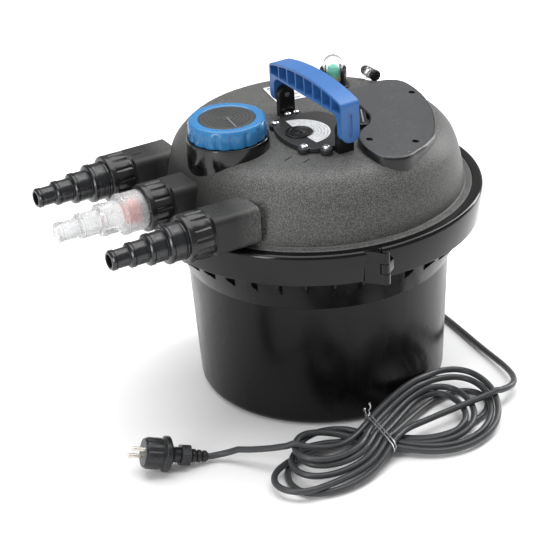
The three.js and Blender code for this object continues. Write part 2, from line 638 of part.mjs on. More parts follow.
// ---------------------------------------------------------------- centre plate and its labels
function centrePlate() {
  const { low, top, lugR, hub, hubR, labelIn, labelOut, labelThick, screws } = PLATE;
  const edge = new THREE.SplineCurve([...PLATE_OUTLINE, PLATE_OUTLINE[0]].map(([x,
    y]) => new THREE.Vector2(x, y)));
  const plate = solid(raised(new THREE.Shape(edge.getPoints(40)), low, top));
  const lugs = screws.map(([x, y]) => solid(bar(lugR, low, top).translate(x, y, 0)));
  add('centre_plate', join(plate, ...lugs), coverGrey);
  screws.forEach(([x, y], i) => {
    add(`plate_screw_${i + 1}`, screwHead(SCREW.r, SCREW.height).translate(x, y, top + GAP), chrome);
  });
  const [hx, hy] = hub;
  add('plate_hub', turned([[0, top + GAP], [hubR, top + GAP], [hubR, top + 1.2], [4, top + 1.6], [3,
    top + 2.6],
    [0, top + 2.6]], MEDIUM).translate(hx, hy, 0), blackMatte);
  const arc = new THREE.Shape();
  arc.absarc(0, 0, labelOut, -88 * DEG, 84 * DEG, false);
  arc.absarc(0, 0, labelIn, 84 * DEG, -88 * DEG, true);
  add('arc_label', raised(arc, top + GAP, top + GAP + labelThick, 20).translate(hx, hy, 0), silverFoil);
}

// ---------------------------------------------------------------- ballast cover
function coverTop(x, y, below = 0) {
  const { z0, slopeX, slopeY, x0, y0 } = COVER;
  return z0 - below + slopeX * (x - x0) + slopeY * (y - y0);
}

/** All the space under the cover's sloping top, or under a skin of it. */
function underCoverTop(below) {
  const geometry = block([-60, 200], [-200, 100], [0, 1]);
  const position = geometry.getAttribute('position');
  for (let i = 0; i < position.count; i += 1) {
    const [x, y, z] = [position.getX(i), position.getY(i), position.getZ(i)];
    position.setZ(i, z > 0 ? coverTop(x, y, below) : PORT.z);
  }
  return solid(geometry);
}

function ballastCover(over) {
  const { wall, inset, mid, holeR, holeDepth, screwHeight, screws } = COVER;
  const edge = new THREE.SplineCurve([...COVER_OUTLINE, COVER_OUTLINE[0]].map(([x,
    y]) => new THREE.Vector2(x, y)));
  const rim = edge.getPoints(44);
  const high = LID.topZ + 30;
  const outer = solid(raised(new THREE.Shape(rim), PORT.z + 1, high)).intersect(underCoverTop(0));
  const centre = new THREE.Vector2(...mid);
  const inside = rim.map((p) => p.clone().sub(centre).multiplyScalar(inset).add(centre));
  const hollow = solid(raised(new THREE.Shape(inside), PORT.z, high)).intersect(underCoverTop(wall));
  const wells = screws.map(([x, y]) => solid(bar(holeR, coverTop(x, y) - holeDepth, high).translate(x, y,
    0)));
  add('ballast_cover', cut(outer, hollow, over, ...wells), coverGrey);
  screws.forEach(([x, y], i) => {
    const low = coverTop(x, y) - holeDepth + GAP;
    add(`cover_screw_${i + 1}`, bar(holeR - 2 * GAP, low, low + screwHeight).translate(x, y, 0), blackMatte);
  });
}

// ---------------------------------------------------------------- lamp, bleed valve and rating label
function indicatorLamp(over) {
  const { x, y, socketR, socketTop, boreR, floorZ, notchHalf, notchZ, notchTurn, lensR, lensZ,
    lensWall } = LAMP;
  const { coreR, coreShoulderZ, coreTopZ } = LAMP;
  const cup = solid(bar(socketR, PORT.z, socketTop).translate(x, y, 0));
  const well = solid(bar(boreR, floorZ, socketTop + 1).translate(x, y, 0));
  const slot = block([-2 * socketR, 2 * socketR], [-notchHalf, notchHalf], [notchZ, socketTop + 1]);
  const notch = solid(slot.rotateZ(notchTurn).translate(x, y, 0));
  add('lamp_socket', cut(cup, well, notch, over), blackMatte);
  const arcs = (r) => [0, 30, 60].map((turn) => [r * Math.cos(turn * DEG), lensZ + r * Math.sin(turn * DEG)]);
  const inner = lensR - lensWall;
  add('lamp_lens', turned([[lensR, floorZ + GAP], ...arcs(lensR), [0, lensZ + lensR], [0, lensZ + inner],
    ...arcs(inner).toReversed(), [inner, floorZ + GAP]], SMALL).translate(x, y, 0), clearPlastic);
  const core = turned([[0, floorZ + GAP], [coreR, floorZ + GAP], [coreR, coreShoulderZ], [coreR * 0.7,
    coreTopZ - 2],
    [0, coreTopZ]]);
  add('lamp_core', core.translate(x, y, 0), green);
}

function bleedValve(over) {
  const { x, z, y, r, knobY, knobR } = BLEED;
  const across = (geometry) => geometry.rotateX(Math.PI / 2).translate(x, 0, z);
  const chamber = solid(across(turned([[0, -y[0] - 3], [r - 1.5, -y[0] - 3], [r - 1.5, -y[0]], [r,
    -y[0]], [r, -y[1]],
    [0, -y[1]]])));
  const stem = solid(bar(r - 1, PORT.z, z).translate(x, (y[0] + y[1]) / 2, 0));
  add('bleed_valve', cut(join(chamber, stem), over), clearPlastic);
  add('bleed_knob', across(raised(fluted(knobR, knobR - 0.8, 8), -y[1] + GAP, -knobY)), blackMatte);
}

function ratingLabel() {
  const { x, y, width, length, turn, low, thick } = LABEL;
  const sheet = raised(roundedRectangle(width / 2, length / 2, 1.5), low, low + thick, 2);
  add('rating_label', sheet.rotateZ(turn).translate(x, y, 0), paper);
}

// ---------------------------------------------------------------- ultraviolet lamp
function uvcUnit() {
  const { x, y, holderR, holderZ, sleeveR, sleeveWall, sleeveLow, lampR, lampLow } = UVC;
  const spot = groupAt(x, y, 0);
  const top = holderZ[0] - GAP;
  const inner = sleeveR - sleeveWall;
  add('lamp_holder', bar(holderR, holderZ[0], holderZ[1]), blackMatte, spot);
  add('uvc_sleeve', turned([[0, sleeveLow], [sleeveR - 6, sleeveLow], [sleeveR, sleeveLow + 6], [sleeveR,
    top],
    [inner, top],
    [inner, sleeveLow + 6], [inner - 5, sleeveLow + sleeveWall], [0, sleeveLow + sleeveWall]]),
    clearPlastic, spot);
  add('uvc_lamp', bar(lampR, lampLow, top), paper, spot);
}

// ---------------------------------------------------------------- mains lead
function cableGland() {
  const g = GLAND;
  const body = turned([[0, g.threadStart], [g.threadR, g.threadStart], [g.threadR, g.base], [g.hexR, g.base],
    [g.hexR, g.hexEnd], [g.nutR, g.hexEnd], [g.nutR, g.nutEnd - 1.5], [g.tipR + 2, g.nutEnd], [g.tipR, g.end],
    [0, g.end]], SMALL);
  add('cable_gland', body.rotateY(Math.PI / 2).translate(0, 0, g.z).rotateZ(g.turn), blackMatte);
}

function cordTube(route, steps) {
  const path = new THREE.CatmullRomCurve3(route.map((p) => new THREE.Vector3(...p)), false, 'centripetal');
  const section = new THREE.Shape().absarc(0, 0, CORD_R, 0, 2 * Math.PI, false);
  return solid(new THREE.ExtrudeGeometry(section, { steps, extrudePath: path, curveSegments: 4,
    bevelEnabled: false }));
}

/** The outer shape of the tied figure-of-eight hank. */
function hankBody(skin) {
  const { low, high, right, left, waist, clearR } = HANK;
  const lobes = [right, left].map(([x, y, a, b, turn]) => {
    const oval = new THREE.Shape().absellipse(x, y, a + skin, b + skin, 0, 2 * Math.PI, false, turn * DEG);
    return solid(raised(oval, low - skin, high + skin, 16));
  });
  const [x0, x1, y0, y1] = waist;
  const neck = solid(block([x0, x1], [y0 - skin, y1 + skin], [low - skin, high + skin]));
  return cut(join(...lobes, neck), solid(bar(clearR - skin, -10, 60, BIG)));
}

function mainsCord() {
  const skin = hankBody(GAP);
  add('cord_lead', cut(cordTube(LEAD_ROUTE, 44), skin), rubberBlack);
  add('cord_coil', hankBody(0), rubberBlack);
  add('cord_end', cut(cordTube(END_ROUTE, 8), skin), rubberBlack);
}

function mainsPlug() {
  const p = PLUG;
  const plug = groupAt(...p.start);
  plug.rotation.set(0, Math.PI / 2 - p.tilt, p.turn, 'ZYX');
  add('plug_nut', turned([[0, 0], [p.reliefR, 0], [p.reliefR, p.relief], [p.nutR, p.relief], [p.nutR,
    p.nut - GAP],
    [0, p.nut - GAP]], SMALL), rubberBlack, plug);
  const body = solid(turned([[0, p.nut], [p.neckR, p.nut], [p.neckR, p.neck], [p.flangeR, p.flangeStart],
    [p.flangeR, p.flange], [p.headR, p.flange + 1], [p.headR, p.length], [0, p.length]]));
  const spots = [-0.5, 0.5].map((side) => [side * p.pinPitch * Math.cos(p.roll),
    side * p.pinPitch * Math.sin(p.roll)]);
  const [seat, face] = [p.length - p.pinDepth, p.length + 1];
  const sockets = spots.map(([x, y]) => solid(bar(p.pinR + GAP, seat, face).translate(x, y, 0)));
  add('plug_body', cut(body, ...sockets), rubberBlack, plug);
  spots.forEach(([x, y], i) => {
    add(`plug_pin_${i + 1}`, bar(p.pinR, seat + GAP, p.length + p.pinLength).translate(x, y, 0), brass, plug);
  });
}

// ---------------------------------------------------------------- assembly
const over = domeEnvelope(GAP);

drum();
lidSeal();
foamCartridge();
lid();
clampRing();
clampKnob();
hosePort('rear', BLACK_STEPS, blackMatte);
flowFloat(hosePort('middle', CLEAR_STEPS, clearPlastic));
hosePort('front', BLACK_STEPS, blackMatte);
selector(over);
handle();
handleBracket('left', armY[1], -1, true, over);
handleBracket('right', armY[0], 1, false, over);
centrePlate();
ballastCover(over);
indicatorLamp(over);
bleedValve(over);
ratingLabel();
uvcUnit();
cableGland();
mainsCord();
mainsPlug();

export default filter;
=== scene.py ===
"""Looks of the pond pressure filter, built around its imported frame.

Lengths are in millimetres on the drawing's own axes. A profile is (radius, height), and an outline (x,
y); soften also takes a corner radius as a third number.
"""
import math

import bmesh
import bpy
import numpy as np
from mathutils import Matrix, Vector


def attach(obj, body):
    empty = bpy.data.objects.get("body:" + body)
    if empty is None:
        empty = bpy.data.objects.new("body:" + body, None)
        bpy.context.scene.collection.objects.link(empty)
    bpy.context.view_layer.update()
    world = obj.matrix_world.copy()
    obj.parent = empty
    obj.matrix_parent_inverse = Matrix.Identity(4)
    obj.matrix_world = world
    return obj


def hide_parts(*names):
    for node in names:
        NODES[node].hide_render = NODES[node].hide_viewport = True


MM = 0.001
DEG = math.pi / 180

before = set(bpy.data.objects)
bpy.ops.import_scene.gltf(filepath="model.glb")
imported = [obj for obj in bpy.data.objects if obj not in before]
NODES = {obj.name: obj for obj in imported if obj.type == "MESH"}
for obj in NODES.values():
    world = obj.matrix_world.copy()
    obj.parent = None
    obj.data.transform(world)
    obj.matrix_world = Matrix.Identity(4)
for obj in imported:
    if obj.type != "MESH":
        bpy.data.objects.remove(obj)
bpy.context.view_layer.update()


def placed(name, data):
    """A new object, linked into the scene."""
    obj = bpy.data.objects.new(name, data)
    bpy.context.scene.collection.objects.link(obj)
    return obj


# ---- camera
def make_camera():
    """The photo's viewpoint, in metres, with the camera's slight lean."""
    azimuth, elevation, roll = -29.0 * DEG, 27.88 * DEG, -3.08 * DEG
    target = Vector((-0.0429, 0.0238, 0.1163))
    distance = 2.2
    right = Vector((math.cos(azimuth), math.sin(azimuth), 0))
    level = math.cos(elevation)
    back = Vector((math.sin(azimuth) * level, -math.cos(azimuth) * level, math.sin(elevation)))
    up = back.cross(right)
    across = math.cos(roll) * right + math.sin(roll) * up
    upright = math.cos(roll) * up - math.sin(roll) * right
    data = bpy.data.cameras.new("camera")
    data.lens = 128.2
    data.sensor_width = 36.0
    camera = placed("camera", data)
    turn = Matrix((across, upright, back)).transposed()
    camera.matrix_world = Matrix.Translation(target + back * distance) @ turn.to_4x4()
    bpy.context.scene.camera = camera


# ---- materials
def tones(color, *shares):
    """The colour made darker or lighter by each share."""
    return [[c * share for c in color] for share in shares]


class Shader:
    """A small builder of node materials on object coordinates, which here are the filter's own, in metres."""

    def __init__(self, name, color, roughness, specular=0.4, metallic=0.0, **sockets):
        self.material = bpy.data.materials.new(name)
        self.material.use_nodes = True
        self.material.diffuse_color = (*color, 1)
        self.tree = self.material.node_tree
        self.bsdf = self.tree.nodes["Principled BSDF"]
        self.color, self.roughness = color, roughness
        self.set("Base Color", (*color, 1))
        self.set("Roughness", roughness)
        self.set("Specular IOR Level", specular)
        self.set("Metallic", metallic)
        for socket, value in sockets.items():
            self.set(socket.replace("_", " "), value)
        self.coordinates = self.node("TexCoord").outputs["Object"]
        self.normal = None

    def set(self, socket, value):
        self.bsdf.inputs[socket].default_value = value

    def node(self, kind, **settings):
        node = self.tree.nodes.new("ShaderNode" + kind)
        for name, value in settings.items():
            setattr(node, name, value)
        return node

    def link(self, source, target):
        self.tree.links.new(source, target)

    def noise(self, per_mm, detail, stretch=None):
        node = self.node("TexNoise")
        node.inputs["Scale"].default_value = per_mm / MM
        node.inputs["Detail"].default_value = detail
        source = self.coordinates
        if stretch:
            mapping = self.node("Mapping")
            mapping.inputs["Scale"].default_value = stretch
            self.link(source, mapping.inputs["Vector"])
            source = mapping.outputs["Vector"]
        self.link(source, node.inputs["Vector"])
        return node.outputs["Fac"]

    def along(self, axis, source, start, end):
        """0 to 1 between two values of a vector's X, Y or Z."""
        split = self.node("SeparateXYZ")
        self.link(source, split.inputs[0])
        return self.spread(split.outputs[axis], 0, 1, start, end)

    def vector_math(self, operation, source, by=None):
        node = self.node("VectorMath", operation=operation)
        self.link(source, node.inputs[0])
        if by is not None:
            node.inputs[1].default_value = by
        return node.outputs["Value" if operation == "LENGTH" else "Vector"]

    def ramp(self, source, stops):
        node = self.node("ValToRGB")
        elements = node.color_ramp.elements
        while len(elements) < len(stops):
            elements.new(0.5)
        for element, (position, color) in zip(elements, stops):
            element.position = position
            element.color = (*color, 1)
        self.link(source, node.inputs["Fac"])
        return node.outputs["Color"]

    def spread(self, source, low, high, start=0.3, end=0.7):
        node = self.node("MapRange")
        for socket, value in (("From Min", start), ("From Max", end), ("To Min", low), ("To Max", high)):
            node.inputs[socket].default_value = value
        self.link(source, node.inputs["Value"])
        return node.outputs["Result"]

    def blend(self, factor, low, high):
        """Base colour low where factor is 0 and high where it is 1; low may be a plain colour."""
        node = self.node("Mix", data_type="RGBA")
        first, second, result = node.inputs[6], node.inputs[7], node.outputs[2]
        self.link(factor, node.inputs["Factor"])
        if isinstance(low, tuple):
            first.default_value = (*low, 1)
        else:
            self.link(low, first)
        self.link(high, second)
        self.link(result, self.bsdf.inputs["Base Color"])

    def mottle(self, source, amount):
        """Colour that swings by a share to each side of the base colour."""
        dark, light = tones(self.color, 1 - amount, 1 + amount)
        self.link(self.ramp(source, [(0.3, dark), (0.7, light)]), self.bsdf.inputs["Base Color"])
        return self

    def sheen(self, source, swing):
        """Roughness that swings to each side of its mean."""
        low, high = self.roughness - swing, self.roughness + swing
        self.link(self.spread(source, low, high), self.bsdf.inputs["Roughness"])
        return self

    def bump(self, source, depth_mm):
        """Relief, added to any the material already has."""
        node = self.node("Bump")
        node.inputs["Distance"].default_value = depth_mm * MM
        node.inputs["Strength"].default_value = 1.0
        self.link(source, node.inputs["Height"])
        if self.normal is not None:
            self.link(self.normal, node.inputs["Normal"])
        self.normal = node.outputs["Normal"]
        self.link(self.normal, self.bsdf.inputs["Normal"])
        return self


def moulded(name, color, roughness, grain=0.02, specular=0.4, mottle=0.08):
    """Injection-moulded plastic: faint colour clouds, uneven gloss and a fine skin."""
    s = Shader(name, color, roughness, specular)
    s.mottle(s.noise(0.03, 4), mottle).sheen(s.noise(0.08, 5), 0.05)
    return s.bump(s.noise(2.2, 3), grain).material


def drum_plastic():
    """Glossy black with shallow waves drawn out up the wall."""
    s = Shader("drum_plastic", (0.0032, 0.0033, 0.0036), 0.25, 0.2)
    s.mottle(s.noise(0.02, 3, (1, 1, 0.15)), 0.25)
    s.sheen(s.noise(0.05, 4, (1, 1, 0.3)), 0.06)
    s.bump(s.noise(0.012, 2, (1, 1, 0.2)), 0.9)
    return s.bump(s.noise(1.6, 2), 0.015).material


def lid_plastic():
    """Speckled, matt and grey on the dome; smoother and darker out along the hose arms."""
    s = Shader("lid_plastic", (0.072, 0.073, 0.070), 0.5, 0.34)
    arm_end, dome_start = -0.158, -0.126
    dome = s.along("X", s.coordinates, arm_end, dome_start)
    speck = s.noise(0.75, 3)
    arm_dark, arm_light, dark, mid, light = tones(s.color, 0.17, 0.17 * 1.2, 0.45, 1.0, 1.85)
    arm = s.ramp(speck, [(0.3, arm_dark), (0.7, arm_light)])
    s.blend(dome, arm, s.ramp(speck, [(0.36, dark), (0.5, mid), (0.66, light)]))
    s.sheen(speck, 0.09)
    s.bump(s.noise(0.9, 3), 0.12)
    return s.bump(s.noise(0.12, 2), 0.10).material


def cover_plastic():
    """Dotted grey on top; painted shade makes it near-black where the surface turns down at the edges, away
    from the lamp above.
    """
    s = Shader("cover_plastic", (0.047, 0.048, 0.052), 0.32, 0.45)
    lit_facing_up = s.along("Z", s.node("NewGeometry").outputs["Normal"], 0.9, 0.99)
    dark, light = tones(s.color, 0.8, 1.2)
    # Painted shade: faces that turn away from up take a near-black colour instead of the dotted grey.
    s.blend(lit_facing_up, (0.0075, 0.0077, 0.0083), s.ramp(s.noise(0.5, 4), [(0.3, dark), (0.7, light)]))
    s.sheen(s.noise(0.06, 4), 0.05)
    dots = s.node("TexVoronoi")
    dots.inputs["Scale"].default_value = 95
    dots.inputs["Randomness"].default_value = 0.35
    s.link(s.coordinates, dots.inputs["Vector"])
    s.bump(s.spread(dots.outputs["Distance"], 1, 0, 0.02, 0.12), 0.5)
    return s.bump(s.noise(1.2, 3), 0.05).material


def rubber(name, color, roughness):
    s = Shader(name, color, roughness)
    s.mottle(s.noise(0.05, 3), 0.12).sheen(s.noise(0.2, 4), 0.07)
    return s.bump(s.noise(1.1, 3), 0.03).material


def metal(name, color, roughness):
    s = Shader(name, color, roughness, 0.5, 1.0)
    s.mottle(s.noise(0.3, 4), 0.08).sheen(s.noise(0.6, 4, (1, 6, 1)), 0.06)
    return s.bump(s.noise(2.0, 2, (1, 8, 1)), 0.01).material


def clear_plastic(name, tint, roughness, haze):
    """Clear moulded plastic, with a share of milky haze in it."""
    s = Shader(name, tint, roughness, 0.5, Transmission_Weight=1.0 - haze, IOR=1.46)
    s.sheen(s.noise(0.15, 3), 0.04)
    return s.bump(s.noise(0.08, 3), 0.08).material


def concentric(name, color, line, centre, pitch_mm, share, roughness):
    """Printed rings about a vertical axis, broken here and there."""
    s = Shader(name, color, roughness)
    offset = s.vector_math("SUBTRACT", s.coordinates, (centre[0] * MM, centre[1] * MM, 0))
    radius = s.vector_math("LENGTH", s.vector_math("MULTIPLY", offset, (1, 1, 0)))
    half_pitch = pitch_mm * MM / 2
    wave = s.node("Math", operation="PINGPONG")
    wave.inputs[1].default_value = half_pitch
    s.link(radius, wave.inputs[0])
    edge = half_pitch * share
    mask = s.spread(wave.outputs["Value"], 0, 1, edge * 0.7, edge)
    broken = s.node("Math", operation="MAXIMUM")
    s.link(mask, broken.inputs[0])
    s.link(s.spread(s.noise(0.35, 2), 0, 1, 0.5, 0.56), broken.inputs[1])
    s.link(s.ramp(broken.outputs["Value"], [(0.0, line), (1.0, color)]), s.bsdf.inputs["Base Color"])
    s.sheen(s.noise(0.3, 3), 0.05)
    return s.bump(mask, 0.12).material


def sticker_paper():
    s = Shader("sticker_paper", (0.62, 0.63, 0.67), 0.5, 0.35)
    s.mottle(s.noise(0.1, 3), 0.04).sheen(s.noise(0.2, 3), 0.05)
    return s.bump(s.noise(0.8, 2), 0.01).material


def lamp_core_painted_glow():
    """The indicator's core: green above, amber at its foot, with a faint painted glow."""
    s = Shader("lamp_core", (0.12, 0.62, 0.42), 0.35, 0.5)
    amber, green, pale_green = (0.45, 0.40, 0.16), (0.10, 0.62, 0.42), (0.22, 0.72, 0.55)
    height = s.along("Z", s.coordinates, 0.307, 0.329)
    color = s.ramp(height, [(0.25, amber), (0.5, green), (1.0, pale_green)])
    s.link(color, s.bsdf.inputs["Base Color"])
    # Painted glow: the lamp is unlit, and the faint emission only brightens the green core.
    s.link(color, s.bsdf.inputs["Emission Color"])
    s.set("Emission Strength", 0.18)
    return s.bump(s.noise(0.4, 2), 0.05).material


def foam():
    s = Shader("foam", (0.03, 0.05, 0.11), 0.9, 0.2)
    s.mottle(s.noise(0.6, 4), 0.5)
    return s.bump(s.noise(0.5, 4), 1.5).material


# ---- outlines
def soften(points, closed=True, steps=4):
    """Corners given as (x, y, radius) become arcs; a point without a radius stays sharp."""
    made = []
    most = 0.48  # the share of a side that an arc may take up
    for i, point in enumerate(points):
        corner = Vector(point[:2])
        radius = point[2] if len(point) > 2 else 0
        if not radius or (not closed and i in (0, len(points) - 1)):
            made.append(tuple(corner))
            continue
        back = Vector(points[i - 1][:2]) - corner
        ahead = Vector(points[(i + 1) % len(points)][:2]) - corner
        half = back.angle(ahead) / 2
        reach = min(radius / math.tan(half), back.length * most, ahead.length * most)
        back.normalize()
        ahead.normalize()
        radius = reach * math.tan(half)
        centre = corner + (back + ahead).normalized() * (radius / math.sin(half))
        start, end = corner + back * reach - centre, corner + ahead * reach - centre
        first = math.atan2(start.y, start.x)
        sweep = (math.atan2(end.y, end.x) - first + math.pi) % (2 * math.pi) - math.pi
        for k in range(steps + 1):
            angle = first + sweep * k / steps
            made.append((centre.x + radius * math.cos(angle), centre.y + radius * math.sin(angle)))
    return made


def smooth_line(points, per, closed=True):
    """A Catmull-Rom line through the points."""
    count = len(points)
    made = []
    for i in range(count if closed else count - 1):
        near = [i + k for k in (-1, 0, 1, 2)]
        near = [n % count if closed else min(max(n, 0), count - 1) for n in near]
        a, b, c, d = (np.array(points[n], float) for n in near)
        for k in range(per):
            t = k / per
            steep = (2 * a - 5 * b + 4 * c - d) * t**2 + (3 * b - a - 3 * c + d) * t**3
            made.append(tuple(0.5 * (2 * b + (c - a) * t + steep)))
    return made if closed else made + [tuple(points[-1])]


def polar(radius, count):
    """An outline about the axis; radius is a number or a function of the angle."""
    angles = [2 * math.pi * i / count for i in range(count)]
    radii = [radius(a) if callable(radius) else radius for a in angles]
    return [(r * math.cos(a), r * math.sin(a)) for a, r in zip(angles, radii)]


def arc(radius, angles, height=0.0):
    """Points at the angles about (0, height)."""
    return [(radius * math.cos(a), height + radius * math.sin(a)) for a in angles]


def scaled(line, factor):
    return [(x * factor, y * factor) for x, y in line]


def inward(line, distance):
    """The outline moved inwards along its normals."""
    points = np.array(line)
    after = np.roll(points, -1, axis=0)
    ahead = after - np.roll(points, 1, axis=0)
    normal = np.stack([-ahead[:, 1], ahead[:, 0]], 1) / np.linalg.norm(ahead, axis=1)[:, None]
    area = np.sum(points[:, 0] * after[:, 1] - after[:, 0] * points[:, 1])
    return [tuple(p) for p in points + normal * distance * (1 if area > 0 else -1)]


def rounded(half_x, half_y, radius, steps=5):
    """A rectangle with rounded corners."""
    signs = ((1, 1), (-1, 1), (-1, -1), (1, -1))
    return soften([(half_x * x, half_y * y, radius) for x, y in signs], steps=steps)


def hexagon(half_width):
    """A nut's outline, its corners eased."""
    radius = half_width / math.cos(30 * DEG)
    corners = [60 * k * DEG for k in range(6)]
    return soften([(radius * math.cos(a), radius * math.sin(a), 0.8) for a in corners], steps=3)


# ---- closed parts: (vertices, faces), and a material index where it is not the first
def lathe(profile, sides, closed=False, sweep=None):
    """Turns a profile about Z. closed joins its ends; sweep = (from, to) leaves capped ends."""
    verts, rings = [], []
    full = sweep is None
    start, end = (0, 2 * math.pi) if full else sweep
    count = sides if full else sides + 1
    angles = [start + (end - start) * i / sides for i in range(count)]
    for r, z in profile:
        if r < 1e-6 and full:
            rings.append([len(verts)] * count)
            verts.append((0, 0, z))
        else:
            rings.append(list(range(len(verts), len(verts) + count)))
            verts += [(r * math.cos(a), r * math.sin(a), z) for a in angles]
    faces = []
    pairs = list(zip(rings, rings[1:])) + ([(rings[-1], rings[0])] if closed else [])
    for low, high in pairs:
        for i in range(sides):
            k = (i + 1) % count
            corners = [low[i], low[k], high[k], high[i]]
            face = [c for n, c in enumerate(corners) if c != corners[n - 1]]
            if len(face) > 2:
                faces.append(face)
    if not full:
        faces += [[ring[0] for ring in rings], [ring[-1] for ring in reversed(rings)]]
    return verts, faces


def spun(profile, sides, steps=4, ring=False):
    """A softened profile turned about Z: a solid from axis to axis, or a ring."""
    return lathe(soften(profile, closed=ring, steps=steps), sides, closed=ring)


def cylinder(radius, low, high, sides=48):
    return lathe([(0, low), (radius, low), (radius, high), (0, high)], sides)


def disc(radius, low, high, sides, round_top=0.0):
    """A short bar with a softened upper edge."""
    return spun([(0, low), (radius, low), (radius, high, round_top), (0, high)], sides)


def stack(levels):
    """A body through outlines of equal point count, each with its height or a height per point."""
    count = len(levels[0][0])
    verts, faces = [], []
    for line, height in levels:
        heights = height if isinstance(height, list) else [height] * count
        verts += [(x, y, z) for (x, y), z in zip(line, heights)]
    for n in range(len(levels) - 1):
        low, high = n * count, (n + 1) * count
        for i in range(count):
            k = (i + 1) % count
            faces.append([low + i, low + k, high + k, high + i])
    last = (len(levels) - 1) * count
    return verts, [list(range(count))[::-1], list(range(last, last + count)), *faces]


def lofted(line, levels):
    """A body through one outline, scaled by each (factor, height)."""
    return stack([(scaled(line, factor), height) for factor, height in levels])


def prism(line, low, high):
    return stack([(line, low), (line, high)])


def block(half_x, half_y, low, high):
    return prism([(-half_x, -half_y), (half_x, -half_y), (half_x, half_y), (-half_x, half_y)], low, high)


def wire(points, radius, sides=8):
    """A round wire through points, with closed ends."""
    points = [Vector(p) for p in points]
    verts, faces = [], []
    normal = Vector((0.3, 0.2, 1)).cross(points[1] - points[0]).normalized()
    angles = [2 * math.pi * k / sides for k in range(sides)]
    for i, p in enumerate(points):
        ahead = (points[min(i + 1, len(points) - 1)] - points[max(i - 1, 0)]).normalized()
        normal = (normal - ahead * normal.dot(ahead)).normalized()
        side = ahead.cross(normal)
        verts += [tuple(p + radius * (normal * math.cos(a) + side * math.sin(a))) for a in angles]
    for n in range(len(points) - 1):
        low, high = n * sides, (n + 1) * sides
        for k in range(sides):
            j = (k + 1) % sides
            faces.append([low + k, low + j, high + j, high + k])
    last = (len(points) - 1) * sides
    return verts, [list(range(sides))[::-1], list(range(last, last + sides)), *faces]


# ---- places, cuts and pieces
def shifted(x, y, z=0.0):
    return Matrix.Translation((x, y, z))


def turned(axis, degrees):
    return Matrix.Rotation(degrees * DEG, 4, axis)


def at(x, y, z=0.0, degrees=0.0):
    return shifted(x, y, z) @ turned("Z", degrees)


FACING = turned("X", 90)  # an outline in (x, z) raised along -Y
SIDEWAYS = Matrix(((0, 0, 1, 0), (1, 0, 0, 0), (0, 1, 0, 0), (0, 0, 0, 1)))  # one in (y, z) raised along X
ALONG_PORT = turned("Y", -90)  # heights run outwards along -X


def move(part, matrix):
    return [tuple(matrix @ Vector(v)) for v in part[0]], *part[1:]


def tinted(part, index):
    """The part in another of its piece's materials."""
    return part[0], part[1], index


def mesh_of(name, parts, scale=1.0, materials=()):
    """One mesh of several closed parts, with its faces turned outwards."""
    verts, faces, picks = [], [], []
    for part in parts:
        start = len(verts)
        verts += [tuple(c * scale for c in v) for v in part[0]]
        faces += [[start + i for i in face] for face in part[1]]
        picks += [part[2] if len(part) > 2 else 0] * len(part[1])
    mesh = bpy.data.meshes.new(name)
    mesh.from_pydata(verts, [], faces)
    for material in materials:
        mesh.materials.append(material)
    mesh.polygons.foreach_set("material_index", picks)
    bm = bmesh.new()
    bm.from_mesh(mesh)
    bmesh.ops.recalc_face_normals(bm, faces=bm.faces)
    bm.to_mesh(mesh)
    bm.free()
    return mesh


def cut(part, *cutters, operation="DIFFERENCE"):
    """The part with others taken out of it, still in millimetres."""
    body = placed("body", mesh_of("body", [part]))
    tool = placed("tool", mesh_of("tool", cutters))
    change = body.modifiers.new("cut", "BOOLEAN")
    change.object = tool
    change.operation = operation
    change.solver = "EXACT"
    mesh = bpy.data.meshes.new_from_object(body.evaluated_get(bpy.context.evaluated_depsgraph_get()))
    made = [tuple(v.co) for v in mesh.vertices], [list(p.vertices) for p in mesh.polygons]
    bpy.data.meshes.remove(mesh)
    for obj in (body, tool):
        bpy.data.objects.remove(obj)
    return made


def piece(name, parts, slot, materials, node=None, body="filter", place=None, bevel=0, sharp=38, segments=3):
    """A mesh that rides on a CAD body and stands for a CAD node. Edges over sharp degrees stay sharp."""
    if place is not None:
        parts = [move(part, place) for part in parts]
    obj = placed(name, mesh_of(name, parts, MM, materials))
    obj.data.shade_smooth()
    obj.data.set_sharp_from_angle(angle=sharp * DEG)
    if bevel:
        edge = obj.modifiers.new("edges", "BEVEL")
        edge.width = bevel * MM
        edge.segments = segments
        edge.limit_method = "ANGLE"
        edge.angle_limit = sharp * DEG
        edge.harden_normals = True
    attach(obj, body)
    if node:
        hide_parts(node)


# ---- the mains cord
CORD = 7.0  # thickness
EXIT = (140.7, 140.7, 248)
LEAD_DOWN = [
    EXIT, (145.1, 145.1, 247.1), (149.8, 149.8, 244.4), (153.8, 153.8, 240.1), (156.8, 156.8, 234.5),
    (158.7, 158.7, 228), (159.3, 159.3, 221), (159.5, 159, 200), (159.6, 158.2, 160), (160.4, 156.5, 110),
    (161.7, 152.3, 65), (163.5, 144, 34), (166, 131, 14), (168.5, 112, 5.2),
]
# From the floor on, the plan alone is drawn; settle() finds the heights.
LEAD_ON_FLOOR = [
    (168.5, 112), (170.5, 85), (171.6, 45), (171.2, 0), (168, -40), (164.6, -72), (160.6, -115),
    (157.2, -139), (151.5, -160), (143, -176), (131, -187),
]
OVER_HANK = [(112, -193), (88, -193), (60, -192), (30, -191), (4, -193)]
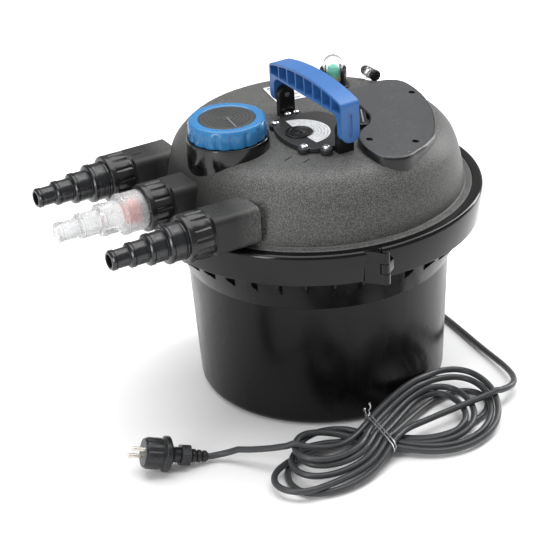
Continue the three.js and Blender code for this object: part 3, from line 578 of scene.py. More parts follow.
# The turns of the figure of eight. Left: outermost first, from below; right: innermost first, from below.
LEFT_TURNS = [
    [(-82, -237), (-122, -241), (-153, -231), (-164, -208), (-157, -180), (-136, -161), (-104, -156),
     (-74, -159)],
    [(-80, -229), (-120, -232), (-152, -234), (-175, -221), (-182, -197), (-165, -174), (-126, -167),
     (-84, -166)],
    [(-80, -222), (-118, -224), (-145, -214), (-155, -192), (-144, -170), (-118, -162), (-84, -172)],
    [(-78, -215), (-112, -217), (-137, -206), (-144, -185), (-129, -162), (-102, -149), (-76, -154),
     (-60, -169)],
    [(-78, -209), (-106, -216), (-134, -209), (-148, -187), (-135, -163), (-105, -155), (-76, -172)],
]
RIGHT_TURNS = [
    [(0, -206), (28, -213), (62, -210), (91, -199), (106, -177), (101, -154), (76, -143), (40, -153),
     (6, -171)],
    [(-2, -214), (24, -222), (47, -216), (64, -196), (69, -170), (62, -149), (42, -142), (14, -154)],
    [(-4, -222), (26, -231), (56, -221), (75, -196), (80, -166), (71, -146), (48, -141), (16, -149)],
    [(-6, -230), (28, -241), (64, -232), (90, -208), (106, -178), (106, -149), (91, -133), (62, -131),
     (33, -142), (4, -152)],
    [(-8, -238), (26, -249), (64, -242), (93, -218), (110, -184), (113, -150), (101, -128), (73, -124),
     (43, -137), (12, -144)],
]
TO_PLUG = [
    (-92, -196), (-112, -196), (-132, -187), (-150, -172), (-162, -156), (-176, -138), (-187, -122),
    (-199.1, -112.7), (-205, -110.9), (-209.7, -109.4),
]
LANDING_HEIGHT, PLUG_HEIGHT = 5.2, 7.6  # of the centreline, where the lead lands and where the plug takes it
WAIST = Vector((-42, -189))
RISING, FALLING = Vector((0.83, 0.56)), Vector((0.80, -0.60))  # the two ways in which strands cross the waist
STEP = 3.0  # between points of the centreline


def waist_pass(direction, lane):
    """Two points of a strand that crosses the waist, shifted sideways into its lane."""
    lane_width, reach = 7.3, 17
    side = Vector((-direction.y, direction.x)) * lane * lane_width
    return [tuple(WAIST + side - direction * reach), tuple(WAIST + side + direction * reach)]


def even_steps(points, step):
    points = np.array(points, float)
    along = np.r_[0, np.cumsum(np.linalg.norm(np.diff(points, axis=0), axis=1))]
    count = int(round(along[-1] / step))
    places = np.linspace(0, along[-1], count + 1)
    return np.stack([np.interp(places, along, points[:, k]) for k in range(points.shape[1])], 1)


def b_spline(points, per=10):
    """A uniform cubic B-spline that starts and ends on its first and last points."""
    points = [np.array(p) for p in points]
    points = [2 * points[0] - points[1], *points, 2 * points[-1] - points[-2]]
    made = []
    for a, b, c, d in zip(points, points[1:], points[2:], points[3:]):
        for k in range(per):
            t = k / per
            weights = ((1 - t) ** 3, 3 * t**3 - 6 * t**2 + 4, -3 * t**3 + 3 * t**2 + 3 * t + 1, t**3)
            made.append(sum(w * p for w, p in zip(weights, (a, b, c, d))) / 6)
    return made + [points[-2]]


def cord_route():
    """The cord's centreline: its plan first, then the height at which each strand rests on those under it."""
    turns = len(LEFT_TURNS)
    middle = (turns - 1) / 2
    plan = LEAD_ON_FLOOR + OVER_HANK
    crossed = len(plan)
    for k in range(turns):
        plan += reversed(waist_pass(RISING, k - turns / 2))
        plan += LEFT_TURNS[k] + waist_pass(FALLING, middle - k) + RIGHT_TURNS[k]
    plan += reversed(waist_pass(RISING, turns / 2))
    plan += TO_PLUG
    dense = b_spline([(*p, 1.0 if i < crossed else 0.0) for i, p in enumerate(plan)])
    dense = even_steps(dense, STEP)
    flat, over = dense[:, :2], dense[:, 2] > 0.5
    # Later points lie over earlier ones, the lead over all, and at the waist rising strands over falling.
    order = np.arange(len(flat)) + np.where(over, len(flat), 0)
    above = order[:, None] < order[None]
    heading = np.gradient(flat, axis=0)
    rising = heading[:, 0] * heading[:, 1] > 0
    waist_radius = 48
    waist = np.linalg.norm(flat - np.array(WAIST), axis=1) < waist_radius
    crossing = waist[:, None] & waist[None] & (rising[:, None] != rising[None])
    above = np.where(crossing, rising[None] & ~rising[:, None], above)
    height = settle(flat, above)
    upper = even_steps(smooth_line(LEAD_DOWN, 8, closed=False), STEP)[:-1]
    return [tuple(p) for p in upper] + [(x, y, z) for (x, y), z in zip(flat, height)]


def settle(flat, above):
    """Heights of a strand on the floor and whatever it crosses. above[i, j]: point j passes over point i."""
    floor, gap = 3.6, 7.2  # least height of a centreline, and between two
    neighbours, rounds = 12, 80
    spread, width = 8, 4.0  # of the smoothing, in points
    count = len(flat)
    distance = np.linalg.norm(flat[:, None] - flat[None], axis=2)
    apart = np.abs(np.subtract.outer(np.arange(count), np.arange(count))) > neighbours
    lower, upper = np.nonzero((distance < gap) & apart & above)
    lift = np.sqrt(gap**2 - distance[lower, upper] ** 2)
    weights = np.exp(-((np.arange(-spread, spread + 1) / width) ** 2))
    weights /= weights.sum()
    height = np.full(count, floor)
    for _ in range(rounds):
        padded = np.pad(height, spread, mode="edge")
        height = np.maximum(np.convolve(padded, weights, mode="valid"), floor)
        np.maximum.at(height, upper, height[lower] + lift)
    landing, ending = 8, 12  # points given to the landing and to the rise into the plug
    height[:landing] = floor + (LANDING_HEIGHT - floor) * np.linspace(1, 0, landing) ** 2
    share = np.linspace(0, 1, ending)
    height[-ending:] = height[-ending:] * (1 - share) + (floor + (PLUG_HEIGHT - floor) * share**2) * share
    return height


def make_cord(route, material):
    """The cord's curve, and its length in metres along the centreline."""
    curve = bpy.data.curves.new("mains_cord", "CURVE")
    curve.dimensions = "3D"
    curve.bevel_depth = CORD / 2 * MM
    curve.bevel_resolution = 4
    curve.use_fill_caps = True
    spline = curve.splines.new("POLY")
    spline.points.add(len(route) - 1)
    for point, place in zip(spline.points, route):
        point.co = (*(c * MM for c in place), 1)
    curve.materials.append(material)
    cord = placed("mains_cord", curve)
    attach(cord, "filter")
    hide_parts("cord_lead", "cord_coil", "cord_end")
    length = float(np.linalg.norm(np.diff(np.array(route), axis=0), axis=1).sum()) * MM
    return cord, length


# ---- drum and clamp ring
def make_drum(material):
    """The vessel, its section running up the outside and down the inside, and the neck's gussets."""
    section = [
        (0, 0), (137.6, 0, 10), (145, 149.6, 0.5), (147.5, 151.1, 0.8), (164, 189, 2), (166, 198.7, 0.6),
        (176.2, 198.7, 0.8), (176.2, 207, 0.8), (170.2, 207), (170.2, 203), (164.8, 203), (164.8, 207),
        (161.5, 207, 0.5), (160, 190), (142.2, 151.6), (141.2, 149.6), (133.8, 12, 6), (127.6, 3.8), (0, 3.8),
    ]
    gussets = 36
    gusset = prism([(155.5, 171), (171.5, 187), (171.5, 199.7), (164, 199.7)], -1.3, 1.3)
    parts = [spun(section, 180, 6)]
    for i in range(gussets):
        parts.append(move(gusset, turned("Z", (i + 0.5) * 360 / gussets) @ FACING))
    piece("filter_drum", parts, "drum_black", [material], "drum", bevel=0.45, segments=2)


RING_LOW, RING_HIGH = 195, 231.2
HINGE, CLOSURE = -99.5, 78  # directions of the front knuckle and of the closing bolt, in degrees
BOLT = (194, 213)  # its radius and height


def hinge_web(side, low, high, whole=True, reach=19.0):
    """The flare by which a ring half runs out to the knuckle; not whole where the other half's bar passes."""
    cut_off = 5.8
    flare = smooth_line([
        (181.2, 19), (183.2, 15.5), (186.4, 11.5), (190.2, 7.6), (192.2, 5.7), (194.2, 3.4), (195.6, 1.6),
    ], 6, closed=False)
    flare = [(r, t) for r, t in flare if t <= reach and (whole or t >= cut_off)]
    if whole:
        inner = [(195.6, 0), (186, 0), (180.3, 3), (180, reach)]
    else:
        inner = [(184.4, cut_off), (180.2, cut_off), (180, reach)]
    return move(prism([(r, t * side) for r, t in flare + inner], low, high), turned("Z", HINGE))


def closure_lug(side):
    """The plate beside the gap at the back, with the bolt's hole."""
    span = [side * distance for distance in (0.8, 6.8)]
    face = soften([(179.5, 202), (203, 202, 5), (203, 224, 5), (179.5, 224)])
    plate = move(prism(face, -max(span), -min(span)), FACING)
    hole = move(cylinder(4.6, -20, 20), shifted(BOLT[0], 0, BOLT[1]) @ FACING)
    return move(cut(plate, hole), turned("Z", CLOSURE))


def make_clamp(material):
    band = soften([
        (173.9, RING_LOW, 0.4), (179.6, RING_LOW, 1.2), (184, RING_HIGH, 4.2), (172.1, RING_HIGH, 0.7),
        (172.1, 227.9), (180.7, 227.9), (176.7, 198.3), (173.9, 198.3),
    ], steps=6)
    hinge, closure = HINGE * DEG, CLOSURE * DEG
    gap = 0.4 / 180  # of each half's end, as an angle
    knuckle = turned("Z", HINGE) @ shifted(190.5, 0, 0)
    outer_bars, middle_bar = ((RING_LOW, 207.1), (219.1, RING_HIGH)), (207.5, 218.7)
    boss = spun([(0, 231), (3.4, 231), (3.4, 232.2, 0.8), (0, 232.6)], 32)
    left = [lathe(band, 96, closed=True, sweep=(closure + gap, hinge + 2 * math.pi - gap))]
    left += [hinge_web(-1, *span) for span in outer_bars]
    left += [hinge_web(-1, 207.1, 219.1, whole=False)]
    left += [move(disc(5.2, *span, 32, 0.8), knuckle) for span in outer_bars]
    left += [closure_lug(1), move(boss, knuckle)]
    look = ("ring_black", [material])
    piece("clamp_left_half", left, *look, "clamp_half_left", "clamp_left", bevel=0.5, segments=2)
    right = [
        lathe(band, 96, closed=True, sweep=(hinge + gap, closure - gap)),
        hinge_web(1, *middle_bar, reach=12),
        move(disc(5.2, *middle_bar, 32, 0.5), knuckle),
        closure_lug(-1),
    ]
    piece("clamp_right_half", right, *look, "clamp_half_right", bevel=0.5, segments=2)


def make_clamp_knob(plastic, steel):
    grip = polar(lambda a: 9.4 + 1.1 * math.cos(5 * a), 80)
    knob = lofted(grip, [(0.86, 7.1), (1, 8.3), (1, 17.2), (0.93, 18.6), (0.78, 19.1)])
    place = turned("Z", CLOSURE) @ shifted(BOLT[0], 0, BOLT[1]) @ turned("X", -90)
    parts = [knob, tinted(cylinder(3, -11.8, 8), 1)]
    look = ("fitting_black", [plastic, steel])
    piece("clamp_closing_knob", parts, *look, "clamp_knob", "clamp_knob", place, bevel=0.3)


# ---- lid and hose ports
DOME = [
    (163.6, 233), (160.8, 252), (155.7, 273.8), (148.6, 287.3), (134.4, 299), (110, 302.4),
    (60, 303.3), (0, 303.5),
]
PORT_ROWS = {"rear": 88, "middle": 0, "front": -88}
ARM_TOP = 277.2
SELECTOR_SPOT = (-107, -6)


def port_place(side):
    return shifted(0, PORT_ROWS[side], 257.2) @ ALONG_PORT


def make_lid(material):
    """Dome and rim, the three arms with their spigots, and the small moulded marks."""
    wall = 4
    dome = smooth_line(DOME, 7, closed=False)
    inner = [(max(r - wall, 0), z - wall) for r, z in dome]
    rim = [
        (163.6, 232.4), (164.6, 231.6, 0.6), (171.8, RING_HIGH, 1.6), (171.8, 227.2), (177.2, 227.2, 0.8),
        (177.2, 207.3, 0.5), (161.5, 207.3, 0.5), (161.5, 213), (172.8, 213), (172.8, 225.5), (159.6, 225.5),
    ]
    shell = lathe([*dome[::-1], *soften(rim, closed=False, steps=6), *inner], 180)
    selector_hole = move(cylinder(8.6, 257, 330), at(*SELECTOR_SPOT))
    clarifier_hole = move(cylinder(21, 257, 330), at(72, -50))
    parts = [cut(shell, selector_hole, clarifier_hole)]
    arm = rounded(20.5, 22, 7.5, 8)
    for side in PORT_ROWS:
        start = 145 if side == "middle" else 130
        levels = [(arm, start), (arm, 180.2), (inward(arm, 0.55), 181.5), (inward(arm, 1.6), 182)]
        parts.append(move(cut(stack(levels), cylinder(16.5, 120, 190)), port_place(side)))
        spigot = [(16.5, 180), (22, 180), (22, 199.5), (16.5, 199.5)]
        parts.append(move(lathe(spigot, 64, closed=True), port_place(side)))
    parts.append(move(prism(rounded(5.5, 3, 1.2), ARM_TOP, 278.2), at(-171, PORT_ROWS["rear"])))
    long, short = 5, 3
    oval = polar(lambda a: long * short / math.hypot(short * math.cos(a), long * math.sin(a)), 32)
    mark = lofted(oval, [(1, ARM_TOP), (1, 278), (0.8, 278.25)])
    parts.append(move(mark, at(-168, PORT_ROWS["front"])))
    for x, y, half_length in ((-72, -70, 6), (-60, -86, 5)):
        bar = lofted(rounded(half_length, 1.1, 1.0, 3), [(1, 301), (1, 303.6), (0.8, 303.9)])
        parts.append(move(bar, at(x, y, degrees=20)))
    piece("lid_shell", parts, "lid_grey", [material], "lid", bevel=0.35, segments=2)


def make_nut(side, material):
    """Fourteen grip ribs, then a smooth collar with small dots on its face."""
    ribs = 14
    rib = polar(lambda a: 25.6 - 1.25 * max(0.0, math.cos(ribs * a)) ** 3, ribs * 16)
    collar = polar(25.6, ribs * 16)
    ribbed = [(0.955, 185), (0.985, 185.6), (1, 186.6), (1, 203.6)]
    smooth = [(0.975, 204.6), (0.975, 205.2), (1, 205.9), (1, 210.1), (0.985, 210.9), (0.96, 211.3)]
    body = stack([(scaled(line, factor), z) for line, levels in ((rib, ribbed), (collar, smooth))
                  for factor, z in levels])
    parts = [cut(body, cylinder(22.4, 184, 205, 64), cylinder(20.6, 205.001, 212, 64))]
    dot = cylinder(0.75, 211, 211.6, 12)
    parts += [move(dot, turned("Z", k * 25.7) @ shifted(23, 0)) for k in range(14)]
    look = ("fitting_black", [material])
    piece(f"nut_{side}_body", parts, *look, f"union_nut_{side}", f"nut_{side}", port_place(side))


def make_tail(side, steps, material, slot):
    """A stepped hose tail; steps are (end, radius), each with fine ridges and two barbs near its end."""
    seat, pitch = 212.3, 1.7
    outer = [(21.9, 201.7), (21.9, 204.7, 0.5), (20.2, 204.7), (20.2, seat)]
    begin = seat
    for end, r in steps:
        low, ridge, barb = r - 0.2, r + 0.05, r + 0.8
        outer.append((low, begin + 0.4, 0.3))
        for k in range(int((end - begin - 8.5) / pitch)):
            start = begin + 1.6 + pitch * k
            outer += [(low, start), (ridge, start + 0.5), (ridge, start + 0.9), (low, start + 1.4)]
        outer += [(low, end - 6.2), (barb, end - 5.9, 0.15), (barb, end - 5.1, 0.15), (low, end - 4.6),
                  (low, end - 3.4), (barb, end - 3.0, 0.15), (barb, end - 2.0, 0.15),
                  (r - 0.6, end - 0.5, 0.3)]
        begin = end
    wide_end = steps[0][0]
    tip_end, tip_r = steps[-1]
    bore = tip_r - 3
    inner = [(tip_r - 0.9, tip_end, 0.4), (bore, tip_end, 0.4), (bore, wide_end + 8, 3),
             (17.2, wide_end - 4, 3), (17.2, 201.7)]
    body = spun(outer + inner, 72, ring=True)
    piece(f"tail_{side}", [body], slot, [material], f"hose_tail_{side}", place=port_place(side), sharp=30)


def make_float(material):
    shape = [(0, 214), (10.5, 214, 3), (13.5, 218, 2), (13.5, 226, 2), (10.5, 230, 3), (0, 230)]
    rib = [(12.8, 221), (13.4, 222), (12.8, 223)]
    parts = [spun(shape, 64, 6), spun(rib, 64, ring=True)]
    piece("float_body", parts, "red", [material], "flow_float", "float", port_place("middle"))


# ---- cleaning selector
def make_selector(gloss, blue, grey, pale):
    """The housing's wall, the fluted blue cap, and the grooved disc with its pointer."""
    spot = at(*SELECTOR_SPOT)
    wall = [(40.6, 270), (44.5, 270), (44.5, 296, 4), (43.4, 315.8, 1), (40.6, 315.8, 0.4)]
    housing = spun(wall, 128, 5, ring=True)
    piece("selector_base", [housing], "fitting_black", [gloss], "selector_housing", place=spot)
    count = 16 * 14
    flute = polar(lambda a: 41.8 - 1.5 * abs(math.cos(8 * a)) ** 7, count)
    inside = [(37, 329), (37, 316.2)]
    fluted = [(0.985, 316.2), (1, 317), (1, 329.6), (0.997, 331.2)]
    above = [(41.0, 332.6), (40.4, 334.2), (39.6, 335.4), (38.4, 335.9), (34.0, 336), (31.4, 335.8),
             (30.4, 335.1), (30.4, 333.4)]
    levels = [(polar(r, count), z) for r, z in inside]
    levels += [(scaled(flute, factor), z) for factor, z in fluted]
    levels += [(polar(r, count), z) for r, z in above]
    piece("selector_cap_body", [stack(levels)], "blue", [blue], "selector_cap", "selector", spot, sharp=50)
    face, floor = 335.6, 335.15
    top = [(0, 333.7), (30, 333.7), (30, 335.3, 0.5), (27.6, face)]
    for r in (24.6, 20.4, 16.2, 12.0, 7.8):
        top += [(r + 0.8, face), (r + 0.5, floor), (r - 0.5, floor), (r - 0.8, face)]
    top += [(3.4, face), (3.0, 335.9, 0.3), (0, 335.9)]
    pointer = prism(rounded(14, 0.75, 0.7, 3), 335.3, 335.95)
    pointer = move(pointer, at(*SELECTOR_SPOT, degrees=-98.6) @ at(14.5, 0))
    parts = [move(spun(top, 96), spot), tinted(pointer, 1)]
    piece("selector_disc_body", parts, "cover_grey", [grey, pale], "selector_disc", "selector", sharp=25)


# ---- carrying handle
HANDLE_X, PIVOT_HEIGHT = -15, 328
HANDLE_BACK, HANDLE_FRONT = 43.0, -103.0  # the arms' outer faces, in y


def arch(y, below=0.0):
    """Height of the handle's upper curve."""
    return 71 + math.sqrt((300 - below) ** 2 - (y + 30) ** 2)


def handle_plate(line, low, high):
    return move(prism(line, low, high), shifted(HANDLE_X, 0) @ SIDEWAYS)


def handle_blank():
    """The arched grip and its two arms, before the cells are cut."""
    front, back, foot, arm, underside = HANDLE_FRONT, HANDLE_BACK, 317, 9, 347.5
    steps = 24
    top = [back + (front - back) * k / steps for k in range(1, steps)]
    line = [
        (back, foot), (back, arch(back) - 1.0, 5), *((y, arch(y)) for y in top),
        (front, arch(front) - 1.0, 5), (front, foot), (front + arm, foot),
        (front + arm, underside, arm), (back - arm, underside, arm), (back - arm, foot),
    ]
    body = handle_plate(soften(line, steps=6), -11, 11)
    round_feet = soften([(-4, 372), (-26, 372), (-26, foot, 10.9), (-4, foot, 10.9)], steps=14)
    return cut(body, move(prism(round_feet, -150, 150), FACING), operation="INTERSECT")


def make_handle(blue):
    front, back = HANDLE_FRONT, HANDLE_BACK
    ribs, skin, rib = 8, 2.8, 1.8
    pitch = (back - front - 2 * skin) / ribs
    cutters = []
    for k in range(ribs):
        a = front + skin + k * pitch + (0 if k == 0 else rib / 2)
        b = front + skin + (k + 1) * pitch - (0 if k == ribs - 1 else rib / 2)
        cell = soften([(a, 350.3, 1), (b, 350.3, 1), (b, arch(b, skin), 1), (a, arch(a, skin), 1)], steps=3)
        cutters += [handle_plate(cell, 2.2, 12), handle_plate(cell, -12, -2.2)]
    for low, high in ((back - 9.5, back - 2), (front + 2, front + 9.5)):
        cutters.append(move(cylinder(3.3, -high, -low, 32), shifted(HANDLE_X, 0, PIVOT_HEIGHT) @ FACING))
    groove = rounded(2.2, 13, 2.1)
    outside = shifted(HANDLE_X, 0, 336) @ FACING @ Matrix.Scale(-1, 4, (0, 0, 1))
    for low, high in ((back - 1.3, back + 1), (front - 1, front + 1.3)):
        cutters.append(move(prism(groove, low, high), outside))
    grip = cut(handle_blank(), *cutters)
    piece("handle_grip", [grip], "blue", [blue], "handle", "handle", bevel=0.7, sharp=30)


def make_brackets(black):
    half, foot = 9.5, 300
    round_top = arc(half, np.linspace(0, math.pi, 20)[1:-1], PIVOT_HEIGHT)
    face = [(half, foot), (half, PIVOT_HEIGHT), *round_top, (-half, PIVOT_HEIGHT), (-half, foot)]
    for side, near, far in (("left", 33.5, 25.5), ("right", -85.5, -93.5)):
        parts = [move(prism(face, -near, -far), shifted(HANDLE_X, 0) @ FACING)]
        if side == "left":
            parts.append(move(prism(rounded(11, 6.6, 2.5), foot, 307.2), at(-14.5, 20.1)))
        piece(f"bracket_{side}", parts, "fitting_black", [black], f"handle_bracket_{side}", bevel=0.9)


def screw(radius, height, degrees):
    """A pan head with a cross recess."""
    head = spun([(0, 0), (radius, 0), (radius, height * 0.55, height * 0.4), (radius * 0.62, height, 1.2),
                 (0, height)], 40, 5)
    half_width = 0.55
    for size in ((radius * 0.55, half_width), (half_width, radius * 0.55)):
        head = cut(head, block(*size, height * 0.5, height + 1))
    return move(head, turned("Z", degrees))


def make_screws(chrome, dark):
    bracket_top, plate_top = 307.5, 309.3
    spots = [("bracket_screw_1", -19, 19.5, bracket_top, 20), ("bracket_screw_2", -9, 19.5, bracket_top, 55)]
    spots += [(f"plate_screw_{i + 1}", *PLATE_SCREWS[i], plate_top, 10 + 30 * i) for i in range(3)]
    for node, x, y, z, degrees in spots:
        size = (3.7, 2.8) if z == bracket_top else (4.3, 3.4)
        piece(f"{node}_head", [screw(*size, degrees)], "steel", [chrome], node, place=at(x, y, z))
    for i, (x, y) in enumerate(COVER_SCREWS):
        node, place = f"cover_screw_{i + 1}", at(x, y, cover_top(x, y, 2.1))
        piece(f"{node}_head", [screw(3.2, 1.2, 30 * i)], "fitting_black", [dark], node, place=place)


# ---- centre plate and labels
PLATE_SCREWS = [(-45, 2), (-51.5, -68), (-34, -84.5)]
HUB = (-36, -32.7)


def make_plate(grey, black, foil):
    """The plate with its three screw bosses, the turned hub, and the arc of foil."""
    outline = smooth_line([
        (-14, 11.5), (-36, 12), (-50, -3), (-57, -28), (-57, -49), (-53, -65), (-44, -77), (-30, -81.5),
        (-12, -82), (4, -66), (14, -42), (18, -15), (10, 6),
    ], 8)
    parts = [prism(outline, 303.8, 309)]
    parts += [move(disc(6.6, 303.8, 309.15, 40), at(x, y)) for x, y in PLATE_SCREWS]
    piece("plate_body", parts, "cover_grey", [grey], "centre_plate", bevel=0.9)
    hub = [(0, 309.3), (15, 309.3), (15, 310.6, 0.7), (11, 310.9, 0.4), (10.2, 310.4), (6.2, 310.4),
           (5.4, 311.2, 0.5), (3, 311.4), (2.8, 311.8, 0.3), (0, 311.9)]
    spot = at(*HUB)
    piece("plate_hub_body", [spun(hub, 72)], "fitting_black", [black], "plate_hub", place=spot, sharp=30)
    sweep = np.linspace(-88, 84, 60) * DEG
    sheet = prism(arc(33.4, sweep) + arc(15.6, sweep[::-1]), 309.3, 309.75)
    piece("arc_label_sheet", [sheet], "foil", [foil], "arc_label", place=spot)


def make_rating_label(paper, ink):
    """A white sticker with plain grey bars in place of print."""
    spot = at(14, 81, degrees=-10)
    parts = [move(prism(rounded(18, 23, 1.6), 303.8, 304.15), spot)]
    for row, half_length in enumerate((14, 9, 13, 6, 12, 14, 10, 13)):
        bar = prism(rounded(half_length, 1.1 if row else 2.0, 0.3, 2), 304.1, 304.22)
        parts.append(tinted(move(bar, spot @ at(half_length - 15, 18 - 5.1 * row)), 1))
    piece("rating_label_sheet", parts, "paper", [paper, ink], "rating_label")


# ---- ballast cover
COVER_LINE = [
    (59, 27), (82, 33), (109, 38.5), (127, 36), (137, 25), (138, 3), (132, -27), (118, -61), (90, -104),
    (66, -125), (44, -137), (30, -143.5), (18, -144), (6, -139), (-1, -130), (-2.5, -112),
    (0, -97), (6, -82), (20, -67),
    (36, -56), (47, -40), (50, -26),
]
COVER_SCREWS = [(126, -5), (13, -94), (56, -116)]


def cover_top(x, y, below=0.0):
    """Height of the cover's sloping top."""
    return 312 - below - 0.1 * (x - 0.7) + 0.067 * (y + 88)


def sloping(line, below):
    return line, [cover_top(x, y, below) for x, y in line]


def make_cover(grey, dark, pale):
    """The cover, hollow underneath, with a rounded upper edge and screw wells; the catch in its left edge."""
    rim = smooth_line(COVER_LINE, 10)
    inner = inward(rim, 3)
    radius, foot = 3.6, 264
    levels = [sloping(inner, 3.2), (inner, foot), (rim, foot), sloping(rim, radius)]
    for k in range(1, 7):
        angle = 15 * k * DEG
        edge = inward(rim, radius * (1 - math.cos(angle)))
        levels.append(sloping(edge, radius * (1 - math.sin(angle))))
    wells = [move(cylinder(3.8, cover_top(x, y, 2.4), 330, 40), at(x, y)) for x, y in COVER_SCREWS]
    piece("cover_shell", [cut(stack(levels), *wells)], "cover_grey", [grey], "ballast_cover", sharp=30)
    place = at(37, -37, degrees=62)
    base, bar = rounded(20, 7.5, 2), rounded(17, 0.8, 0.7)
    parts = [stack([(base, 300), (base, 309.2), (rounded(19, 6.5, 2), 310)])]
    # The catch's two ribs are coloured light grey: painted highlights along the ribs of the black catch.
    parts += [tinted(move(prism(bar, 309, 311.2), at(0, y)), 1) for y in (-3, 2.6)]
    piece("cover_catch", parts, "fitting_black", [dark, pale], place=place)


# ---- lamp and bleed valve
def make_lamp(black, clear, core_painted_glow):
    """The slotted cup with its flange, the clear dome over it, and the core with its painted glow."""
    spot = at(69.5, 67.5)
    cup = spun([(0, 290), (15, 290), (15, 325, 1.2), (12.3, 325, 0.4), (12.3, 307), (0, 307)], 72)
    slot = move(block(30, 8.5, 312, 330), turned("Z", 61))
    flange = spun([(14, 300), (17.5, 300), (17.5, 305.4, 1.2), (14, 306)], 72, ring=True)
    parts = [cut(cup, slot), flange]
    piece("lamp_cup", parts, "fitting_black", [black], "lamp_socket", place=spot, bevel=0.4)
    foot, shoulder, outer, inner = 307.3, 328.3, 11.8, 10.2
    quarter = np.linspace(0, math.pi / 2, 12)[:-1]
    skin = [(outer, foot), *arc(outer, quarter, shoulder), (0, shoulder + outer), (0, shoulder + inner),
            *arc(inner, quarter, shoulder)[::-1], (inner, foot)]
    dome = lathe(skin, 64, closed=True)
    piece("lamp_dome", [dome], "clear", [clear], "lamp_lens", place=spot, sharp=60)
    core = [(0, foot), (8, foot), (8, 313, 0.5), (7.2, 313.8), (7.2, 322, 2), (5, 327, 2), (0, 329)]
    piece("lamp_core_body", [spun(core, 48, 5)], "green", [core_painted_glow], "lamp_core", place=spot)


def make_bleed(clear, black):
    """A clear stem and chamber with a black end cap, and the knob that turns on the chamber's near end."""
    x = 115
    across = shifted(x, 0, 309) @ FACING
    chamber = spun([(0, -72), (6, -72, 0.8), (6, -56, 0.8), (0, -56)], 40)
    collar = spun([(5.0, -66), (6.5, -66, 0.3), (6.5, -64, 0.3), (5.0, -64)], 40, ring=True)
    cap = spun([(0, -75), (5.2, -75, 0.8), (5.2, -72, 0.2), (0, -72)], 40)
    stem = move(cylinder(5, 285, 306, 32), at(x, 64))
    parts = [move(chamber, across), move(collar, across), tinted(move(cap, across), 1), stem]
    piece("bleed_body", parts, "clear", [clear, black], "bleed_valve")
    grip = polar(lambda a: 6.4 - 0.7 * abs(math.cos(5 * a)) ** 4, 80)
    knob = lofted(grip, [(0.95, -55.7), (1, -55.0), (1, -50.8), (0.92, -50)])
    piece("bleed_grip", [knob], "fitting_black", [black], "bleed_knob", "bleed_knob", across)


# ---- gland, plug and wire tie
def make_gland(black):
    """The gland's body and ribbed sleeve, narrowing towards the cord, and its nut."""
    place = turned("Z", 45) @ shifted(0, 0, EXIT[2]) @ turned("Y", 90)
    body = [(0, 153), (4.6, 153), (4.6, 162), (8.4, 162), (8.4, 176, 0.8), (6.8, 177)]
    for k in range(5):
        start, r = 178.4 + 3.8 * k, 6.5 - 0.42 * k
        body += [(r - 0.7, start), (r, start + 0.6, 0.3), (r - 0.1, start + 2.2, 0.3), (r - 0.8, start + 2.8)]
    body += [(4.3, 197.6, 0.4), (3.8, 198), (0, 198)]
    nut = stack([(hexagon(9), 162.4), (hexagon(9.2), 163), (hexagon(9.2), 168.6), (hexagon(9), 169)])
    piece("gland_body", [spun(body, 40, 3), nut], "fitting_black", [black], "cable_gland", place=place)


def make_plug(material, brass):
    """The plug, built along its axis from where the cord enters, then tipped over onto its collar."""
    place = shifted(-210.2, -109.2, 7.8) @ turned("Z", 164) @ turned("Y", 74.4)
    relief = [(0, 0), (4.6, 0)]
    for k in range(3):
        start, r = 1.6 + 6 * k, 6.2 + 0.5 * k
        relief += [(r - 1.9, start), (r, start + 0.3, 0.5), (r, start + 4.2, 0.5), (r - 1.8, start + 4.5)]
    relief += [(6.6, 20), (0, 20)]
    nut = stack([(hexagon(10.2), 20), (hexagon(10.9), 20.8), (hexagon(10.9), 30), (hexagon(10.2), 30.7)])
    piece("plug_relief", [spun(relief, 48, 3), nut], "rubber", [material], "plug_nut", place=place)
    head = [(0, 31), (8.3, 31), (8.3, 37.6, 1), (12.5, 40.2, 4), (19.3, 43.4, 1.4), (19.3, 48.4, 1.2),
            (15.6, 51, 0.8), (15.6, 70.8, 1.2), (0, 70.8)]
    grip = polar(lambda a: 16.9 - 1.0 * abs(math.cos(4 * a + 0.4)) ** 8, 240)
    sleeve = lofted(grip, [(0.9, 51.5), (1, 52.6), (1, 67.0), (0.95, 68.4)])
    roll, half_pitch = -37 * DEG, 9.5
    pins = [(side * half_pitch * math.cos(roll), side * half_pitch * math.sin(roll)) for side in (-1, 1)]
    sockets = [move(cylinder(2.65, 64.8, 72, 24), at(x, y)) for x, y in pins]
    parts = [cut(part, *sockets) for part in (spun(head, 72, 5), sleeve)]
    piece("plug_head", parts, "rubber", [material], "plug_body", place=place)
    pin = spun([(0, 65.1), (2.35, 65.1), (2.35, 84.8, 1.2), (0, 84.8)], 24, 5)
    for i, (x, y) in enumerate(pins):
        node = f"plug_pin_{i + 1}"
        piece(f"{node}_body", [pin], "pin_metal", [brass], node, place=place @ at(x, y))


def hull(points):
    """The convex outline round points in a plane."""
    def turns_back(a, b, c):
        return (b[0] - a[0]) * (c[1] - a[1]) - (b[1] - a[1]) * (c[0] - a[0]) <= 0

    points = sorted(points)
    halves = []
    for run in (points, points[::-1]):
        line = []
        for p in run:
            while len(line) > 1 and turns_back(line[-2], line[-1], p):
                line.pop()
            line.append(p)
        halves += line[:-1]
    return halves


